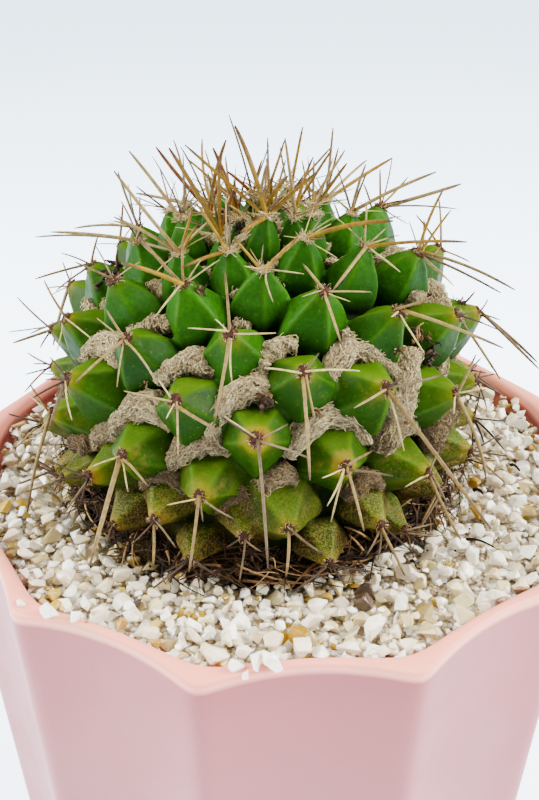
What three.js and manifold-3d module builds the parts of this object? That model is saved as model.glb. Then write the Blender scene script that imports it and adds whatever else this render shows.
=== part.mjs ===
// A round cactus growing in a twelve-sided plastic pot, topped with crushed quartz.
// Millimetres, +Z up, origin at the middle of the pot's resting face.
// Azimuths are in degrees, from the front (-Y) round towards +X.

import * as THREE from 'three';
import { mergeVertices } from 'three/addons/utils/BufferGeometryUtils.js';
import Module from 'manifold-3d';

const wasm = await Module();
wasm.setup();

// The pot. Radii are measured to the corners of its twelve-sided outline.
const potHeight = 108;
const potSides = 12;
const potCornerRadius = 65;
const firstCornerAzimuth = -11;
const wallTaper = 0.03;          // radius lost for each millimetre down the wall
const fluteDepth = 2.2;          // how far each panel curves in between its corners
const rimArch = 1.4;             // how far the rim rises between its corners
const lipWidth = 4.8;
const lipCrown = 1.9;            // top of the rounded lip above its outer edge
const potFloor = 3;
const footChamfer = 1.5;
// The lip's section: distance in from its outer edge, and height as a share of its crown.
const lipOutline = [[0.35, 0.75], [1.3, 0.95], [2.6, 1.0], [3.8, 0.75], [4.5, 0.3]];
const panelSteps = 6;
const drainHoles = { count: 5, radius: 4, circleRadius: 30, sides: 12 };

// The filling. Pieces that touch are kept this far apart.
const seatGap = 0.3;
const gravelDepth = 10;
const gravelDrop = 1.2;          // gravel level below the rim's corners, at the lip
const stemDip = 1.6;             // how much lower the gravel lies under the lowest tubercles
const dipEndRadius = 50;
const chips = { count: 190, size: 3.2, sunk: 0.25, flatness: 0.7, tilt: 0.9, innerShare: 0.75 };
const bedDrop = 0.8;             // top of the even bed below the gravel's level
const holeClearance = 0.6;       // gap round the plant's neck
const dipWidth = 10;

// The plant. Its tubercles sit on one spiral, each turned on by the golden angle.
const plantCentre = { x: -3.6, y: 1.7 };
const firstTubercle = -26;
const lastTubercle = 84;
const startAzimuth = 4.7;
const goldenAngle = 137.53;
// For some places on the spiral: areole radius, areole height above the rim's corners,
// rise of the tubercle's axis in degrees, tubercle length and tubercle half width.
const spiralProfile = [
  { place: -30, radius: 3.0, height: 51.5, rise: 86, length: 6, halfWidth: 2.4 },
  { place: -15, radius: 10.0, height: 52.0, rise: 80, length: 9, halfWidth: 3.6 },
  { place: 0, radius: 20.1, height: 48.4, rise: 73, length: 11, halfWidth: 5.0 },
  { place: 15, radius: 32.2, height: 41.3, rise: 53, length: 12, halfWidth: 6.0 },
  { place: 30, radius: 40.1, height: 32.1, rise: 28, length: 12, halfWidth: 6.4 },
  { place: 45, radius: 42.7, height: 20.1, rise: 10, length: 12, halfWidth: 6.2 },
  { place: 60, radius: 43.1, height: 11.5, rise: -5, length: 10, halfWidth: 5.2 },
  { place: 86, radius: 42.4, height: 3.2, rise: -4, length: 8, halfWidth: 4.0 },
];
const rightLift = 0.06;          // height that the plant's right side gains per millimetre out
// A tubercle's section: azimuth of each corner about its axis, and its reach in half widths.
const tubercleSection = [[52, 0.95], [128, 0.95], [200, 1.02], [270, 1.16], [340, 1.02]];
// How far back along its length, and how wide in half widths, each ring of a tubercle is.
const tubercleSwell = [[0.95, 0.55], [0.45, 1.02], [0.11, 0.56]];
const neckRadius = 36;           // where the plant goes down through the gravel
const neckStep = 5;              // how far the stem's underside lies inside its neck
const stemSink = 0.72;           // depth of the stem under the areoles, in tubercle lengths
const stemPlaces = [84, 60, 40, 20, 5, -8, -20];
const crownSink = 4;
const coreSegments = 20;
const rootRadius = 9;
const rootTipRadius = 3;
const rootLength = 18;

// Spines: how the longest one of an areole rises and how long it is, along the spiral.
const spineProfile = [
  { place: -30, rise: 80, length: 20 },
  { place: -12, rise: 52, length: 18 },
  { place: 0, rise: 12, length: 16 },
  { place: 10, rise: -35, length: 17 },
  { place: 22, rise: -62, length: 19 },
  { place: 45, rise: -64, length: 17 },
  { place: 60, rise: -25, length: 12 },
  { place: 86, rise: 0, length: 9 },
];
const spineRadius = 0.62;
const spineRootDepth = 1.8;
const sideSpineLength = 7.5;
const loneSidePlace = 50;        // from here on an areole has one side spine instead of two

const azimuthPoint = (radius, azimuth, z) => {
  const turn = THREE.MathUtils.degToRad(azimuth);
  return new THREE.Vector3(radius * Math.sin(turn), -radius * Math.cos(turn), z);
};

// Repeatable random numbers from 0 to 1.
function seededRandom(seed) {
  let state = seed;
  return () => {
    state = (state * 1664525 + 1013904223) % 4294967296;
    return state / 4294967296;
  };
}

// Value of one profile entry at a place on the spiral, eased between the listed places.
function along(profile, key, place) {
  let i = 0;
  while (i < profile.length - 2 && place > profile[i + 1].place) i++;
  const [a, b] = [profile[i], profile[i + 1]];
  const before = profile[Math.max(i - 1, 0)];
  const after = profile[Math.min(i + 2, profile.length - 1)];
  const span = b.place - a.place;
  const t = (place - a.place) / span;
  const slopeA = (b[key] - before[key]) / (b.place - before.place) * span;
  const slopeB = (after[key] - a[key]) / (after.place - a.place) * span;
  return (2 * t ** 3 - 3 * t ** 2 + 1) * a[key] + (t ** 3 - 2 * t ** 2 + t) * slopeA
    + (3 * t ** 2 - 2 * t ** 3) * b[key] + (t ** 3 - t ** 2) * slopeB;
}

// Closed skin over rings of points that run anticlockwise as seen from the last ring's side.
// It starts at one point, follows the rings and ends at another point, or joins up as a hoop.
function skinOver(rings, startPoint, endPoint) {
  const points = rings.flat();
  const count = rings[0].length;
  const faces = [];
  const at = (ring, j) => (ring % rings.length) * count + (j % count);
  const strips = startPoint ? rings.length - 1 : rings.length;
  for (let i = 0; i < strips; i++) {
    for (let j = 0; j < count; j++) {
      faces.push(at(i, j), at(i, j + 1), at(i + 1, j + 1));
      faces.push(at(i, j), at(i + 1, j + 1), at(i + 1, j));
    }
  }
  if (startPoint) {
    points.push(startPoint, endPoint);
    const last = rings.length - 1;
    for (let j = 0; j < count; j++) {
      faces.push(points.length - 2, at(0, j + 1), at(0, j));
      faces.push(points.length - 1, at(last, j), at(last, j + 1));
    }
  }
  const geometry = new THREE.BufferGeometry().setFromPoints(points);
  geometry.setIndex(faces);
  return geometry;
}

function toSolid(geometry) {
  const bare = geometry.clone();
  bare.deleteAttribute('normal');
  bare.deleteAttribute('uv');
  const merged = mergeVertices(bare, 1e-5);
  return new wasm.Manifold(new wasm.Mesh({
    numProp: 3,
    vertProperties: Float32Array.from(merged.attributes.position.array),
    triVerts: Uint32Array.from(merged.index.array),
  }));
}

function toGeometry(solid) {
  const mesh = solid.getMesh();
  const geometry = new THREE.BufferGeometry();
  geometry.setAttribute('position', new THREE.BufferAttribute(mesh.vertProperties, 3));
  geometry.setIndex(new THREE.BufferAttribute(mesh.triVerts, 1));
  geometry.computeVertexNormals();
  return geometry;
}

// Joins solids and keeps the one body, without loose scraps or sealed pockets.
function fuse(solids) {
  const bodies = wasm.Manifold.union(solids).decompose();
  return bodies.reduce((best, body) => (body.volume() > best.volume() ? body : best));
}

const circle = (radius, z, count) => Array.from({ length: count }, (_, j) => (
  azimuthPoint(radius, 360 * j / count, z)));

// Twelve-sided ring: panels curve in by `inward` and their middles rise by `arch`.
function potRing(cornerRadius, z, inward = 0, arch = 0, steps = panelSteps) {
  const ring = [];
  const panelAngle = 360 / potSides;
  for (let side = 0; side < potSides; side++) {
    const azimuth = firstCornerAzimuth + side * panelAngle;
    const from = azimuthPoint(cornerRadius, azimuth, z);
    const to = azimuthPoint(cornerRadius, azimuth + panelAngle, z);
    const outward = azimuthPoint(1, azimuth + panelAngle / 2, 0);
    for (let step = 0; step < steps; step++) {
      const across = step / steps;
      const bow = 4 * across * (1 - across);
      ring.push(from.clone().lerp(to, across).addScaledVector(outward, -inward * bow)
        .add(new THREE.Vector3(0, 0, arch * bow)));
    }
  }
  return ring;
}

const outerRadiusAt = (z) => potCornerRadius - wallTaper * (potHeight - z);
const innerRadiusAt = (z) => outerRadiusAt(z) - lipWidth;

function makePot() {
  const rings = [
    potRing(outerRadiusAt(0) - footChamfer, 0, fluteDepth),
    potRing(outerRadiusAt(footChamfer), footChamfer, fluteDepth),
    potRing(potCornerRadius, potHeight, fluteDepth, rimArch),
    ...lipOutline.map(([inset, up]) => potRing(potCornerRadius - inset, potHeight + lipCrown * up,
      fluteDepth * (1 - inset / lipWidth), rimArch)),
    potRing(innerRadiusAt(potHeight), potHeight - lipCrown, 0, 0),
    potRing(innerRadiusAt(potFloor), potFloor, 0, 0),
  ];
  let shell = toSolid(skinOver(rings, new THREE.Vector3(0, 0, 0), new THREE.Vector3(0, 0, potFloor)));
  for (let i = 0; i < drainHoles.count; i++) {
    const drill = new THREE.CylinderGeometry(drainHoles.radius, drainHoles.radius, 4 * potFloor,
      drainHoles.sides);
    drill.rotateX(Math.PI / 2);
    drill.translate(...azimuthPoint(drainHoles.circleRadius, 360 * i / drainHoles.count, 0));
    shell = shell.subtract(toSolid(drill));
  }
  return toGeometry(shell);
}

const gravelBase = potHeight - gravelDepth;

function makeSoil() {
  const top = gravelBase - seatGap;
  const bottom = potFloor + seatGap;
  const socket = rootRadius + seatGap;
  const socketFloor = top - rootLength - seatGap;
  const rootRing = (z) => potRing(socket, z, 0, 0, 2)
    .map((point) => point.add(new THREE.Vector3(plantCentre.x, plantCentre.y, 0)));
  const rings = [
    potRing(innerRadiusAt(bottom) - seatGap, bottom, 0, 0, 2),
    potRing(innerRadiusAt(top) - seatGap, top, 0, 0, 2),
    rootRing(top),
    rootRing(socketFloor),
  ];
  return skinOver(rings, new THREE.Vector3(0, 0, bottom),
    new THREE.Vector3(plantCentre.x, plantCentre.y, socketFloor));
}

// The gravel's height falls a little towards the plant.
function gravelLevel(radius) {
  const dip = THREE.MathUtils.smoothstep(dipEndRadius - radius, 0, dipWidth);
  return potHeight - gravelDrop - stemDip * dip;
}

function makeGravel() {
  const random = seededRandom(11);
  const plantOffset = Math.hypot(plantCentre.x, plantCentre.y);
  const holeRadius = neckRadius + holeClearance;
  const outer = (z) => potRing(innerRadiusAt(z) - seatGap, z, 0, 0, 2);
  const around = (radius, z) => circle(radius, z, 24)
    .map((point) => point.add(new THREE.Vector3(plantCentre.x, plantCentre.y, 0)));
  const bed = skinOver([
    outer(gravelBase),
    outer(gravelLevel(potCornerRadius) - bedDrop),
    around(dipEndRadius - plantOffset, gravelLevel(dipEndRadius) - bedDrop),
    around(holeRadius, gravelLevel(holeRadius) - bedDrop),
    around(holeRadius, gravelBase),
  ]);
  const stones = [toSolid(bed)];
  const inner = holeRadius + chips.size;
  const edge = innerRadiusAt(potHeight) * Math.cos(Math.PI / potSides) - chips.size;
  for (let i = 0; i < chips.count; i++) {
    const radius = Math.sqrt(inner ** 2 + (edge ** 2 - inner ** 2) * (i + 0.5) / chips.count);
    const spot = azimuthPoint(radius, i * goldenAngle, gravelLevel(radius) - chips.size * chips.sunk);
    const fromPlant = Math.hypot(spot.x - plantCentre.x, spot.y - plantCentre.y);
    if (fromPlant < inner - holeClearance) continue;
    const underPlant = radius < dipEndRadius - chips.size;
    const size = chips.size * (0.8 + 0.35 * random()) * (underPlant ? chips.innerShare : 1);
    const chip = new THREE.OctahedronGeometry(1, 0);
    chip.scale(size * (0.9 + 0.3 * random()), size * (0.8 + 0.3 * random()), size * chips.flatness);
    chip.rotateX((random() - 0.5) * chips.tilt);
    chip.rotateY((random() - 0.5) * chips.tilt);
    chip.rotateZ(random() * Math.PI);
    chip.translate(spot.x, spot.y, spot.z);
    stones.push(toSolid(chip));
  }
  return toGeometry(fuse(stones));
}

// Where a tubercle of the spiral sits: its areole, and the directions of its own frame.
function tuberclePlace(place) {
  const azimuth = startAzimuth + goldenAngle * place;
  const rise = THREE.MathUtils.degToRad(along(spiralProfile, 'rise', place));
  const radius = along(spiralProfile, 'radius', place);
  const height = along(spiralProfile, 'height', place)
    + rightLift * Math.max(0, azimuthPoint(radius, azimuth, 0).x);
  const areole = azimuthPoint(radius, azimuth, potHeight + height)
    .add(new THREE.Vector3(plantCentre.x, plantCentre.y, 0));
  const outward = azimuthPoint(1, azimuth, 0);
  const axis = outward.clone().multiplyScalar(Math.cos(rise)).setZ(Math.sin(rise));
  const sideways = new THREE.Vector3(0, 0, 1).cross(outward);
  const upper = axis.clone().cross(sideways);
  return { areole, outward, axis, sideways, upper };
}

const inFrame = (frame, x, y, z) => frame.areole.clone().addScaledVector(frame.sideways, x)
  .addScaledVector(frame.upper, y).addScaledVector(frame.axis, z);

// Five-sided blunt cone with a keel along its lower side, its base sunk in the stem.
function makeTubercle(place) {
  const frame = tuberclePlace(place);
  const length = along(spiralProfile, 'length', place);
  const halfWidth = along(spiralProfile, 'halfWidth', place);
  const rings = tubercleSwell.map(([back, wide]) => tubercleSection.map(([angle, reach]) => {
    const turn = THREE.MathUtils.degToRad(angle);
    const radius = halfWidth * wide * reach;
    return inFrame(frame, radius * Math.cos(turn), radius * Math.sin(turn), -length * back);
  }));
  return skinOver(rings, inFrame(frame, 0, 0, -length), frame.areole);
}

// Three-sided needle from inside the areole to its tip.
function makeSpine(frame, direction, length) {
  const root = inFrame(frame, 0, 0, -spineRootDepth);
  const tip = frame.areole.clone().addScaledVector(direction, length);
  const lengthwise = tip.clone().sub(root).normalize();
  const acrossA = new THREE.Vector3(0, 0, 1).cross(lengthwise).normalize();
  const acrossB = lengthwise.clone().cross(acrossA);
  const ring = [0, 1, 2].map((j) => {
    const turn = 2 * Math.PI * j / 3;
    return root.clone().addScaledVector(acrossA, spineRadius * Math.cos(turn))
      .addScaledVector(acrossB, spineRadius * Math.sin(turn));
  });
  return skinOver([ring], root.clone(), tip);
}

function makeSpines(place, random) {
  const frame = tuberclePlace(place);
  const rise = THREE.MathUtils.degToRad(along(spineProfile, 'rise', place) + 16 * (random() - 0.5));
  const length = along(spineProfile, 'length', place) * (0.85 + 0.3 * random());
  const swing = 0.5 * (random() - 0.5);
  const long = frame.outward.clone().multiplyScalar(Math.cos(rise)).setZ(Math.sin(rise))
    .addScaledVector(frame.sideways, swing).normalize();
  const spines = [makeSpine(frame, long, length)];
  const sides = place < loneSidePlace ? [-1, 1] : [place % 2 ? 1 : -1];
  for (const hand of sides) {
    const direction = frame.sideways.clone().multiplyScalar(hand)
      .addScaledVector(frame.axis, 0.45 + 0.2 * random())
      .addScaledVector(frame.upper, 0.15 + 0.2 * random()).normalize();
    spines.push(makeSpine(frame, direction, sideSpineLength * (0.85 + 0.3 * random())));
  }
  return spines.map(toSolid);
}

// Stem inside the tubercles, with its underside, neck and taproot.
function makeStem() {
  const rings = [];
  const moved = (radius, z) => circle(radius, z, coreSegments)
    .map((point) => point.add(new THREE.Vector3(plantCentre.x, plantCentre.y, 0)));
  const soilTop = gravelBase;
  rings.push(moved(rootTipRadius, soilTop - rootLength));
  rings.push(moved(rootRadius - seatGap, soilTop - rootLength / 2));
  rings.push(moved(rootRadius - seatGap, soilTop));
  rings.push(moved(neckRadius - neckStep, soilTop + seatGap));
  rings.push(moved(neckRadius, soilTop + neckStep));
  rings.push(moved(neckRadius, potHeight));
  for (const place of stemPlaces) {
    const rise = THREE.MathUtils.degToRad(along(spiralProfile, 'rise', place));
    const sink = along(spiralProfile, 'length', place) * stemSink;
    const radius = along(spiralProfile, 'radius', place) - sink * Math.cos(rise);
    rings.push(moved(radius, potHeight + along(spiralProfile, 'height', place) - sink * Math.sin(rise)));
  }
  const apex = potHeight + along(spiralProfile, 'height', firstTubercle) - crownSink;
  return toSolid(skinOver(rings,
    new THREE.Vector3(plantCentre.x, plantCentre.y, soilTop - rootLength),
    new THREE.Vector3(plantCentre.x, plantCentre.y, apex)));
}

function makeCactus() {
  const random = seededRandom(5);
  const solids = [makeStem()];
  for (let place = firstTubercle; place <= lastTubercle; place++) {
    solids.push(toSolid(makeTubercle(place)));
    solids.push(...makeSpines(place, random));
  }
  return toGeometry(fuse(solids));
}

const potPlastic = new THREE.MeshStandardMaterial({ color: '#eec6c8', roughness: 0.42, metalness: 0 });
const pottingSoil = new THREE.MeshStandardMaterial({ color: '#3a2b20', roughness: 0.95, metalness: 0 });
const crushedQuartz = new THREE.MeshStandardMaterial({ color: '#e9e6dc', roughness: 0.6, metalness: 0 });
const cactusSkin = new THREE.MeshStandardMaterial({ color: '#3f8a1e', roughness: 0.5, metalness: 0 });

const group = new THREE.Group();
function addPiece(name, geometry, material) {
  const piece = new THREE.Mesh(geometry, material);
  piece.name = name;
  group.add(piece);
}

addPiece('pot', makePot(), potPlastic);
addPiece('soil', makeSoil(), pottingSoil);
addPiece('gravel', makeGravel(), crushedQuartz);
addPiece('cactus', makeCactus(), cactusSkin);

export default group;
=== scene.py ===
import math
import bpy
import bmesh
import numpy as np
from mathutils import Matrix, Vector, noise
from mathutils.bvhtree import BVHTree


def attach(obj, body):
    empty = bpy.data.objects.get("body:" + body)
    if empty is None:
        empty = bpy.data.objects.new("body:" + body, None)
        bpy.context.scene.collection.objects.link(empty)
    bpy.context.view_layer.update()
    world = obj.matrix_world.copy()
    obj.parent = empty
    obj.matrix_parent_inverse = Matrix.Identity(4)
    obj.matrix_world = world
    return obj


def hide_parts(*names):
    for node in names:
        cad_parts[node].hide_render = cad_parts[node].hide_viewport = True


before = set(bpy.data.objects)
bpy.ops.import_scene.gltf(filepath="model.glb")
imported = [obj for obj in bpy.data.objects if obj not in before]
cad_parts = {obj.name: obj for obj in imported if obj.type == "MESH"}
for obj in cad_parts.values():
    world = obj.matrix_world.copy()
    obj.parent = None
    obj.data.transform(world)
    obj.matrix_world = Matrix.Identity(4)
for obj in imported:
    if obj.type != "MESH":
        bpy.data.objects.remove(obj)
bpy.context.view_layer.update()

mm = 0.001  # everything below is worked out in millimetres and made in metres
fullTurn = 2 * math.pi
skyward = np.array([0.0, 0.0, 1.0])
rimHeight = 108.0  # rim corners above the floor


view = {"elevation": 29.72, "distance": 171.96, "focalPixels": 853.8, "sensor": 36.0,
        "imageWidth": 539, "imageHeight": 800, "aimX": -1.56, "aimAboveRim": 13.13}
tilt = math.radians(view["elevation"])
viewBack = np.array([0.0, -math.cos(tilt), math.sin(tilt)])
viewUp = np.array([0.0, math.sin(tilt), math.cos(tilt)])
viewRight = np.array([1.0, 0.0, 0.0])
aim = np.array([view["aimX"], 0.0, rimHeight + view["aimAboveRim"]])
eye = aim + viewBack * view["distance"]

cameraData = bpy.data.cameras.new("camera")
cameraData.sensor_width = view["sensor"]
cameraData.lens = view["focalPixels"] * view["sensor"] / view["imageHeight"]
cameraData.clip_start = 0.01
camera = bpy.data.objects.new("camera", cameraData)
camera.location = eye * mm
camera.rotation_euler = (math.pi / 2 - tilt, 0, 0)
bpy.context.scene.collection.objects.link(camera)
bpy.context.scene.camera = camera


def unit(v):
    return v / (np.linalg.norm(v) + 1e-12)


# azimuth 0 is the side that the photo shows, 90 is to its right
def azimuthPoint(radius, azimuth, z=0.0):
    turn = math.radians(azimuth)
    return np.array([radius * math.sin(turn), -radius * math.cos(turn), z])


# from the eye towards a pixel of the photo, 1 mm deep into the view
def pixelRay(x, y):
    aside = viewRight * (x - view["imageWidth"] / 2) - viewUp * (y - view["imageHeight"] / 2)
    return aside / view["focalPixels"] - viewBack


# the point seen at a pixel, as far from the camera as likePoint or some mm nearer
def pixelPoint(x, y, likePoint, nearer=0.0):
    return eye + pixelRay(x, y) * (float(np.dot(eye - likePoint, viewBack)) - nearer)


# the point of a surface that the photo shows at a pixel, or None beside it
def seenPoint(surface, x, y):
    hit = surface.ray_cast(Vector(eye * mm), Vector(unit(pixelRay(x, y))))
    return None if hit[0] is None else np.array(hit[0]) / mm


# even steps round a full turn
def turnSteps(count):
    return np.linspace(0, fullTurn, count, endpoint=False)


# a smooth random number from -1 to 1 for each point
def field(points, scale):
    return np.array([noise.noise(Vector(p * scale)) for p in points])


def softened(ring, rounds):
    for _ in range(rounds):
        ring = 0.25 * np.roll(ring, 1, 0) + 0.5 * ring + 0.25 * np.roll(ring, -1, 0)
    return ring


def addLayer(mesh, key, values):
    layer = mesh.attributes.new(key, "FLOAT", "POINT")
    layer.data.foreach_set("value", np.asarray(values, dtype=np.float32))


# layers give the material a value at each point
def makePiece(name, verts, faces, material, slot, stands, smooth=True, **layers):
    mesh = bpy.data.meshes.new(name)
    mesh.from_pydata((np.asarray(verts, dtype=np.float64) * mm).tolist(), [], faces)
    mesh.update()
    mesh.polygons.foreach_set("use_smooth", [smooth] * len(mesh.polygons))
    for key, values in layers.items():
        addLayer(mesh, key, values)
    mesh.materials.append(material)
    piece = bpy.data.objects.new(name, mesh)
    bpy.context.scene.collection.objects.link(piece)
    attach(piece, "root")
    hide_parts(stands)
    return piece


# many shapes, each its points and faces, as one piece; a layer has one value for each shape
def makeShapes(name, shapes, material, slot, stands, smooth=True, **layers):
    faces, offset = [], 0
    for points, shapeFaces in shapes:
        faces += [[v + offset for v in face] for face in shapeFaces]
        offset += len(points)
    sizes = [len(points) for points, _ in shapes]
    layers = {key: np.repeat(values, sizes) for key, values in layers.items()}
    verts = np.concatenate([points for points, _ in shapes])
    return makePiece(name, verts, faces, material, slot, stands, smooth, **layers)


# thin tapering tubes along many paths as one piece of the plant; a layer has one value for each tube
def makeTubes(name, paths, radii, sides, material, **layers):
    paths, radii = np.asarray(paths, dtype=float), np.asarray(radii, dtype=float)
    count, steps, _ = paths.shape
    tangent = np.gradient(paths, axis=1)
    tangent /= np.linalg.norm(tangent, axis=2, keepdims=True) + 1e-12
    helper = np.where(np.abs(tangent[:, :1, 2:3]) < 0.9, [[[0, 0, 1.0]]], [[[1.0, 0, 0]]])
    sideA = np.cross(tangent, np.broadcast_to(helper, tangent.shape))
    sideA /= np.linalg.norm(sideA, axis=2, keepdims=True) + 1e-12
    sideB = np.cross(tangent, sideA)
    turn = turnSteps(sides)[None, None, :, None]
    ring = sideA[:, :, None, :] * np.cos(turn) + sideB[:, :, None, :] * np.sin(turn)
    verts = paths[:, :, None, :] + ring * radii[:, :, None, None]
    base = (np.arange(count) * steps * sides)[:, None, None]
    step = (np.arange(steps - 1) * sides)[None, :, None]
    j = np.arange(sides)[None, None, :]
    k = (j + 1) % sides
    faces = np.stack([base + step + j, base + step + k,
                      base + step + sides + k, base + step + sides + j], axis=-1).reshape(-1, 4).tolist()
    for first in range(0, count * steps * sides, steps * sides):
        last = first + (steps - 1) * sides
        faces += [list(range(first + sides - 1, first - 1, -1)), list(range(last, last + sides))]
    layers = {key: np.repeat(values, steps * sides) for key, values in layers.items()}
    return makePiece(name, verts.reshape(-1, 3), faces, material, "cactus_skin", "cactus", **layers)


# one skin over rings of points, closed at both ends
def closeRings(rings, inward=False):
    count = len(rings[0])
    faces = []
    for i in range(len(rings) - 1):
        for j in range(count):
            k = (j + 1) % count
            faces.append([i * count + j, i * count + k, (i + 1) * count + k, (i + 1) * count + j])
    last = (len(rings) - 1) * count
    faces += [list(range(count - 1, -1, -1)), list(range(last, last + count))]
    return np.concatenate(rings), [face[::-1] for face in faces] if inward else faces


def bentPath(start, end, bend, steps):
    t = np.linspace(0, 1, steps)[:, None]
    return start * (1 - t) ** 2 + 2 * t * (1 - t) * ((start + end) / 2 + bend) + end * t ** 2


def applyModifiers(piece):
    bpy.context.view_layer.update()
    graph = bpy.context.evaluated_depsgraph_get()
    mesh = bpy.data.meshes.new_from_object(piece.evaluated_get(graph))
    piece.modifiers.clear()
    material = piece.data.materials[0]
    piece.data = mesh
    if not mesh.materials:
        mesh.materials.append(material)
    return mesh


def searchTree(piece):
    bpy.context.view_layer.update()
    return BVHTree.FromObject(piece, bpy.context.evaluated_depsgraph_get())


def newMaterial(name, roughness, specular=0.5, color=(0.8, 0.8, 0.8)):
    material = bpy.data.materials.new(name)
    material.use_nodes = True
    shader = material.node_tree.nodes["Principled BSDF"]
    shader.inputs["Base Color"].default_value = (*color, 1)
    shader.inputs["Roughness"].default_value = roughness
    shader.inputs["Specular IOR Level"].default_value = specular
    return material, material.node_tree, shader


# lets some light through under the surface; the scale is in metres
def letLightIn(shader, weight, radius, scale):
    shader.inputs["Subsurface Weight"].default_value = weight
    shader.inputs["Subsurface Radius"].default_value = radius
    shader.inputs["Subsurface Scale"].default_value = scale


def connect(tree, shader, color, normal, rough=None):
    tree.links.new(color, shader.inputs["Base Color"])
    tree.links.new(normal, shader.inputs["Normal"])
    if rough:
        tree.links.new(rough, shader.inputs["Roughness"])


# a node fed by source, with values for its other inputs
def addNode(tree, kind, source, **values):
    node = tree.nodes.new(kind)
    for key, value in values.items():
        node.inputs[key].default_value = value
    tree.links.new(source, node.inputs[0])
    return node.outputs


def objectPlace(tree):
    return tree.nodes.new("ShaderNodeTexCoord").outputs["Object"]


def attribute(tree, name):
    node = tree.nodes.new("ShaderNodeAttribute")
    node.attribute_name = name
    return node.outputs["Fac"]


def noiseAt(tree, place, scale, detail, roughness):
    return addNode(tree, "ShaderNodeTexNoise", place, Scale=scale, Detail=detail, Roughness=roughness)["Fac"]


# how far from the nearest of many random dots, and a random number for each dot
def dotsAt(tree, place, scale):
    dots = addNode(tree, "ShaderNodeTexVoronoi", place, Scale=scale)
    return dots["Distance"], addNode(tree, "ShaderNodeSeparateColor", dots["Color"])["Red"]


# each stop has a position and a colour, or one number for a grey
def ramp(tree, source, *stops):
    node = tree.nodes.new("ShaderNodeValToRGB")
    elements = node.color_ramp.elements
    for i, (position, color) in enumerate((stops[0], stops[-1], *stops[1:-1])):
        element = elements[i] if i < 2 else elements.new(position)
        element.position = position
        element.color = (*color, 1) if isinstance(color, tuple) else (color, color, color, 1)
    tree.links.new(source, node.inputs["Fac"])
    return node.outputs["Color"]


def plug(tree, socket, value):
    if isinstance(value, bpy.types.NodeSocket):
        tree.links.new(value, socket)
    else:
        socket.default_value = (*value, 1) if isinstance(value, tuple) else value


def mixColor(tree, factor, a, b, blend="MIX"):
    node = tree.nodes.new("ShaderNodeMix")
    node.data_type = "RGBA"
    node.blend_type = blend
    for index, value in ((0, factor), (6, a), (7, b)):
        plug(tree, node.inputs[index], value)
    return node.outputs[2]


# darkens and lightens a colour with a pattern
def varied(tree, color, pattern, *stops):
    return mixColor(tree, 1.0, color, ramp(tree, pattern, *stops), "MULTIPLY")


def mathNode(tree, operation, a, b, clamp=False):
    node = tree.nodes.new("ShaderNodeMath")
    node.operation = operation
    node.use_clamp = clamp
    plug(tree, node.inputs[0], a)
    plug(tree, node.inputs[1], b)
    return node.outputs[0]


def times(tree, a, b, clamp=False):
    return mathNode(tree, "MULTIPLY", a, b, clamp)


# how much a is over b, enlarged by gain
def excess(tree, a, b, gain, clamp=False):
    return times(tree, mathNode(tree, "SUBTRACT", a, b, clamp=True), gain, clamp)


def bumpFrom(tree, height, strength, distance, below=None):
    node = tree.nodes.new("ShaderNodeBump")
    node.inputs["Strength"].default_value = strength
    node.inputs["Distance"].default_value = distance
    tree.links.new(height, node.inputs["Height"])
    if below:
        tree.links.new(below, node.inputs["Normal"])
    return node.outputs["Normal"]


spiral = {"centreX": -3.6, "centreY": 1.7, "startAzimuth": 4.7, "goldenAngle": 137.53,
          "first": -26, "last": 84,
          "rightLift": 0.06}  # the plant's right side stands a little higher
profileRows = [  # place, areole radius, height over rim, rise of axis, length, half width
    (-30, 3.0, 51.5, 86, 6, 2.4),
    (-15, 10.0, 52.0, 80, 9, 3.6),
    (0, 20.1, 48.4, 73, 11, 5.0),
    (15, 32.2, 41.3, 53, 12, 6.0),
    (30, 40.1, 32.1, 28, 12, 6.4),
    (45, 42.7, 20.1, 10, 12, 6.2),
    (60, 43.1, 11.5, -5, 10, 5.2),
    (86, 42.4, 3.2, -4, 8, 4.0),
]
profileKeys = ["place", "radius", "height", "rise", "length", "halfWidth"]
plantCentre = np.array([spiral["centreX"], spiral["centreY"], 0.0])
# where the photo shows an areole, in its pixels; the depth stays what the spiral gives
seenAreoles = {
    -24: (238, 217), -19: (211, 212), -16: (221, 236), -13: (266, 214), -12: (288, 186), -11: (182, 216),
    -10: (314, 213), -9: (217, 191), -8: (229, 249), -6: (169, 209), -5: (306, 237), -3: (179, 252),
    -2: (352, 212), 0: (263, 268), 2: (138, 240), 3: (366, 245), 5: (183, 283), 6: (381, 205),
    8: (324, 290), 10: (113, 279), 11: (419, 251), 13: (230, 333), 15: (90, 264), 16: (400, 311),
    18: (124, 338), 19: (441, 247), 21: (305, 372), 23: (64, 318), 24: (460, 314), 26: (174, 401),
    29: (388, 388), 31: (66, 379), 32: (480, 312), 34: (256, 440), 36: (51, 328), 37: (457, 394),
    39: (121, 456), 42: (347, 468), 44: (50, 413), 45: (477, 380), 47: (199, 497), 50: (430, 474),
    52: (87, 477), 55: (289, 530), 58: (472, 452), 60: (154, 521), 63: (382, 527), 68: (244, 538),
    76: (330, 564)}


def along(key, place):
    i = 0
    while i < len(profileRows) - 2 and place > profileRows[i + 1][0]:
        i += 1
    column = profileKeys.index(key)
    a, b = profileRows[i], profileRows[i + 1]
    before, after = profileRows[max(i - 1, 0)], profileRows[min(i + 2, len(profileRows) - 1)]
    span = b[0] - a[0]
    t = (place - a[0]) / span
    slopeA = (b[column] - before[column]) / (b[0] - before[0]) * span
    slopeB = (after[column] - a[column]) / (after[0] - a[0]) * span
    return ((2 * t ** 3 - 3 * t ** 2 + 1) * a[column] + (t ** 3 - 2 * t ** 2 + t) * slopeA
            + (3 * t ** 2 - 2 * t ** 3) * b[column] + (t ** 3 - t ** 2) * slopeB)


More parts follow.
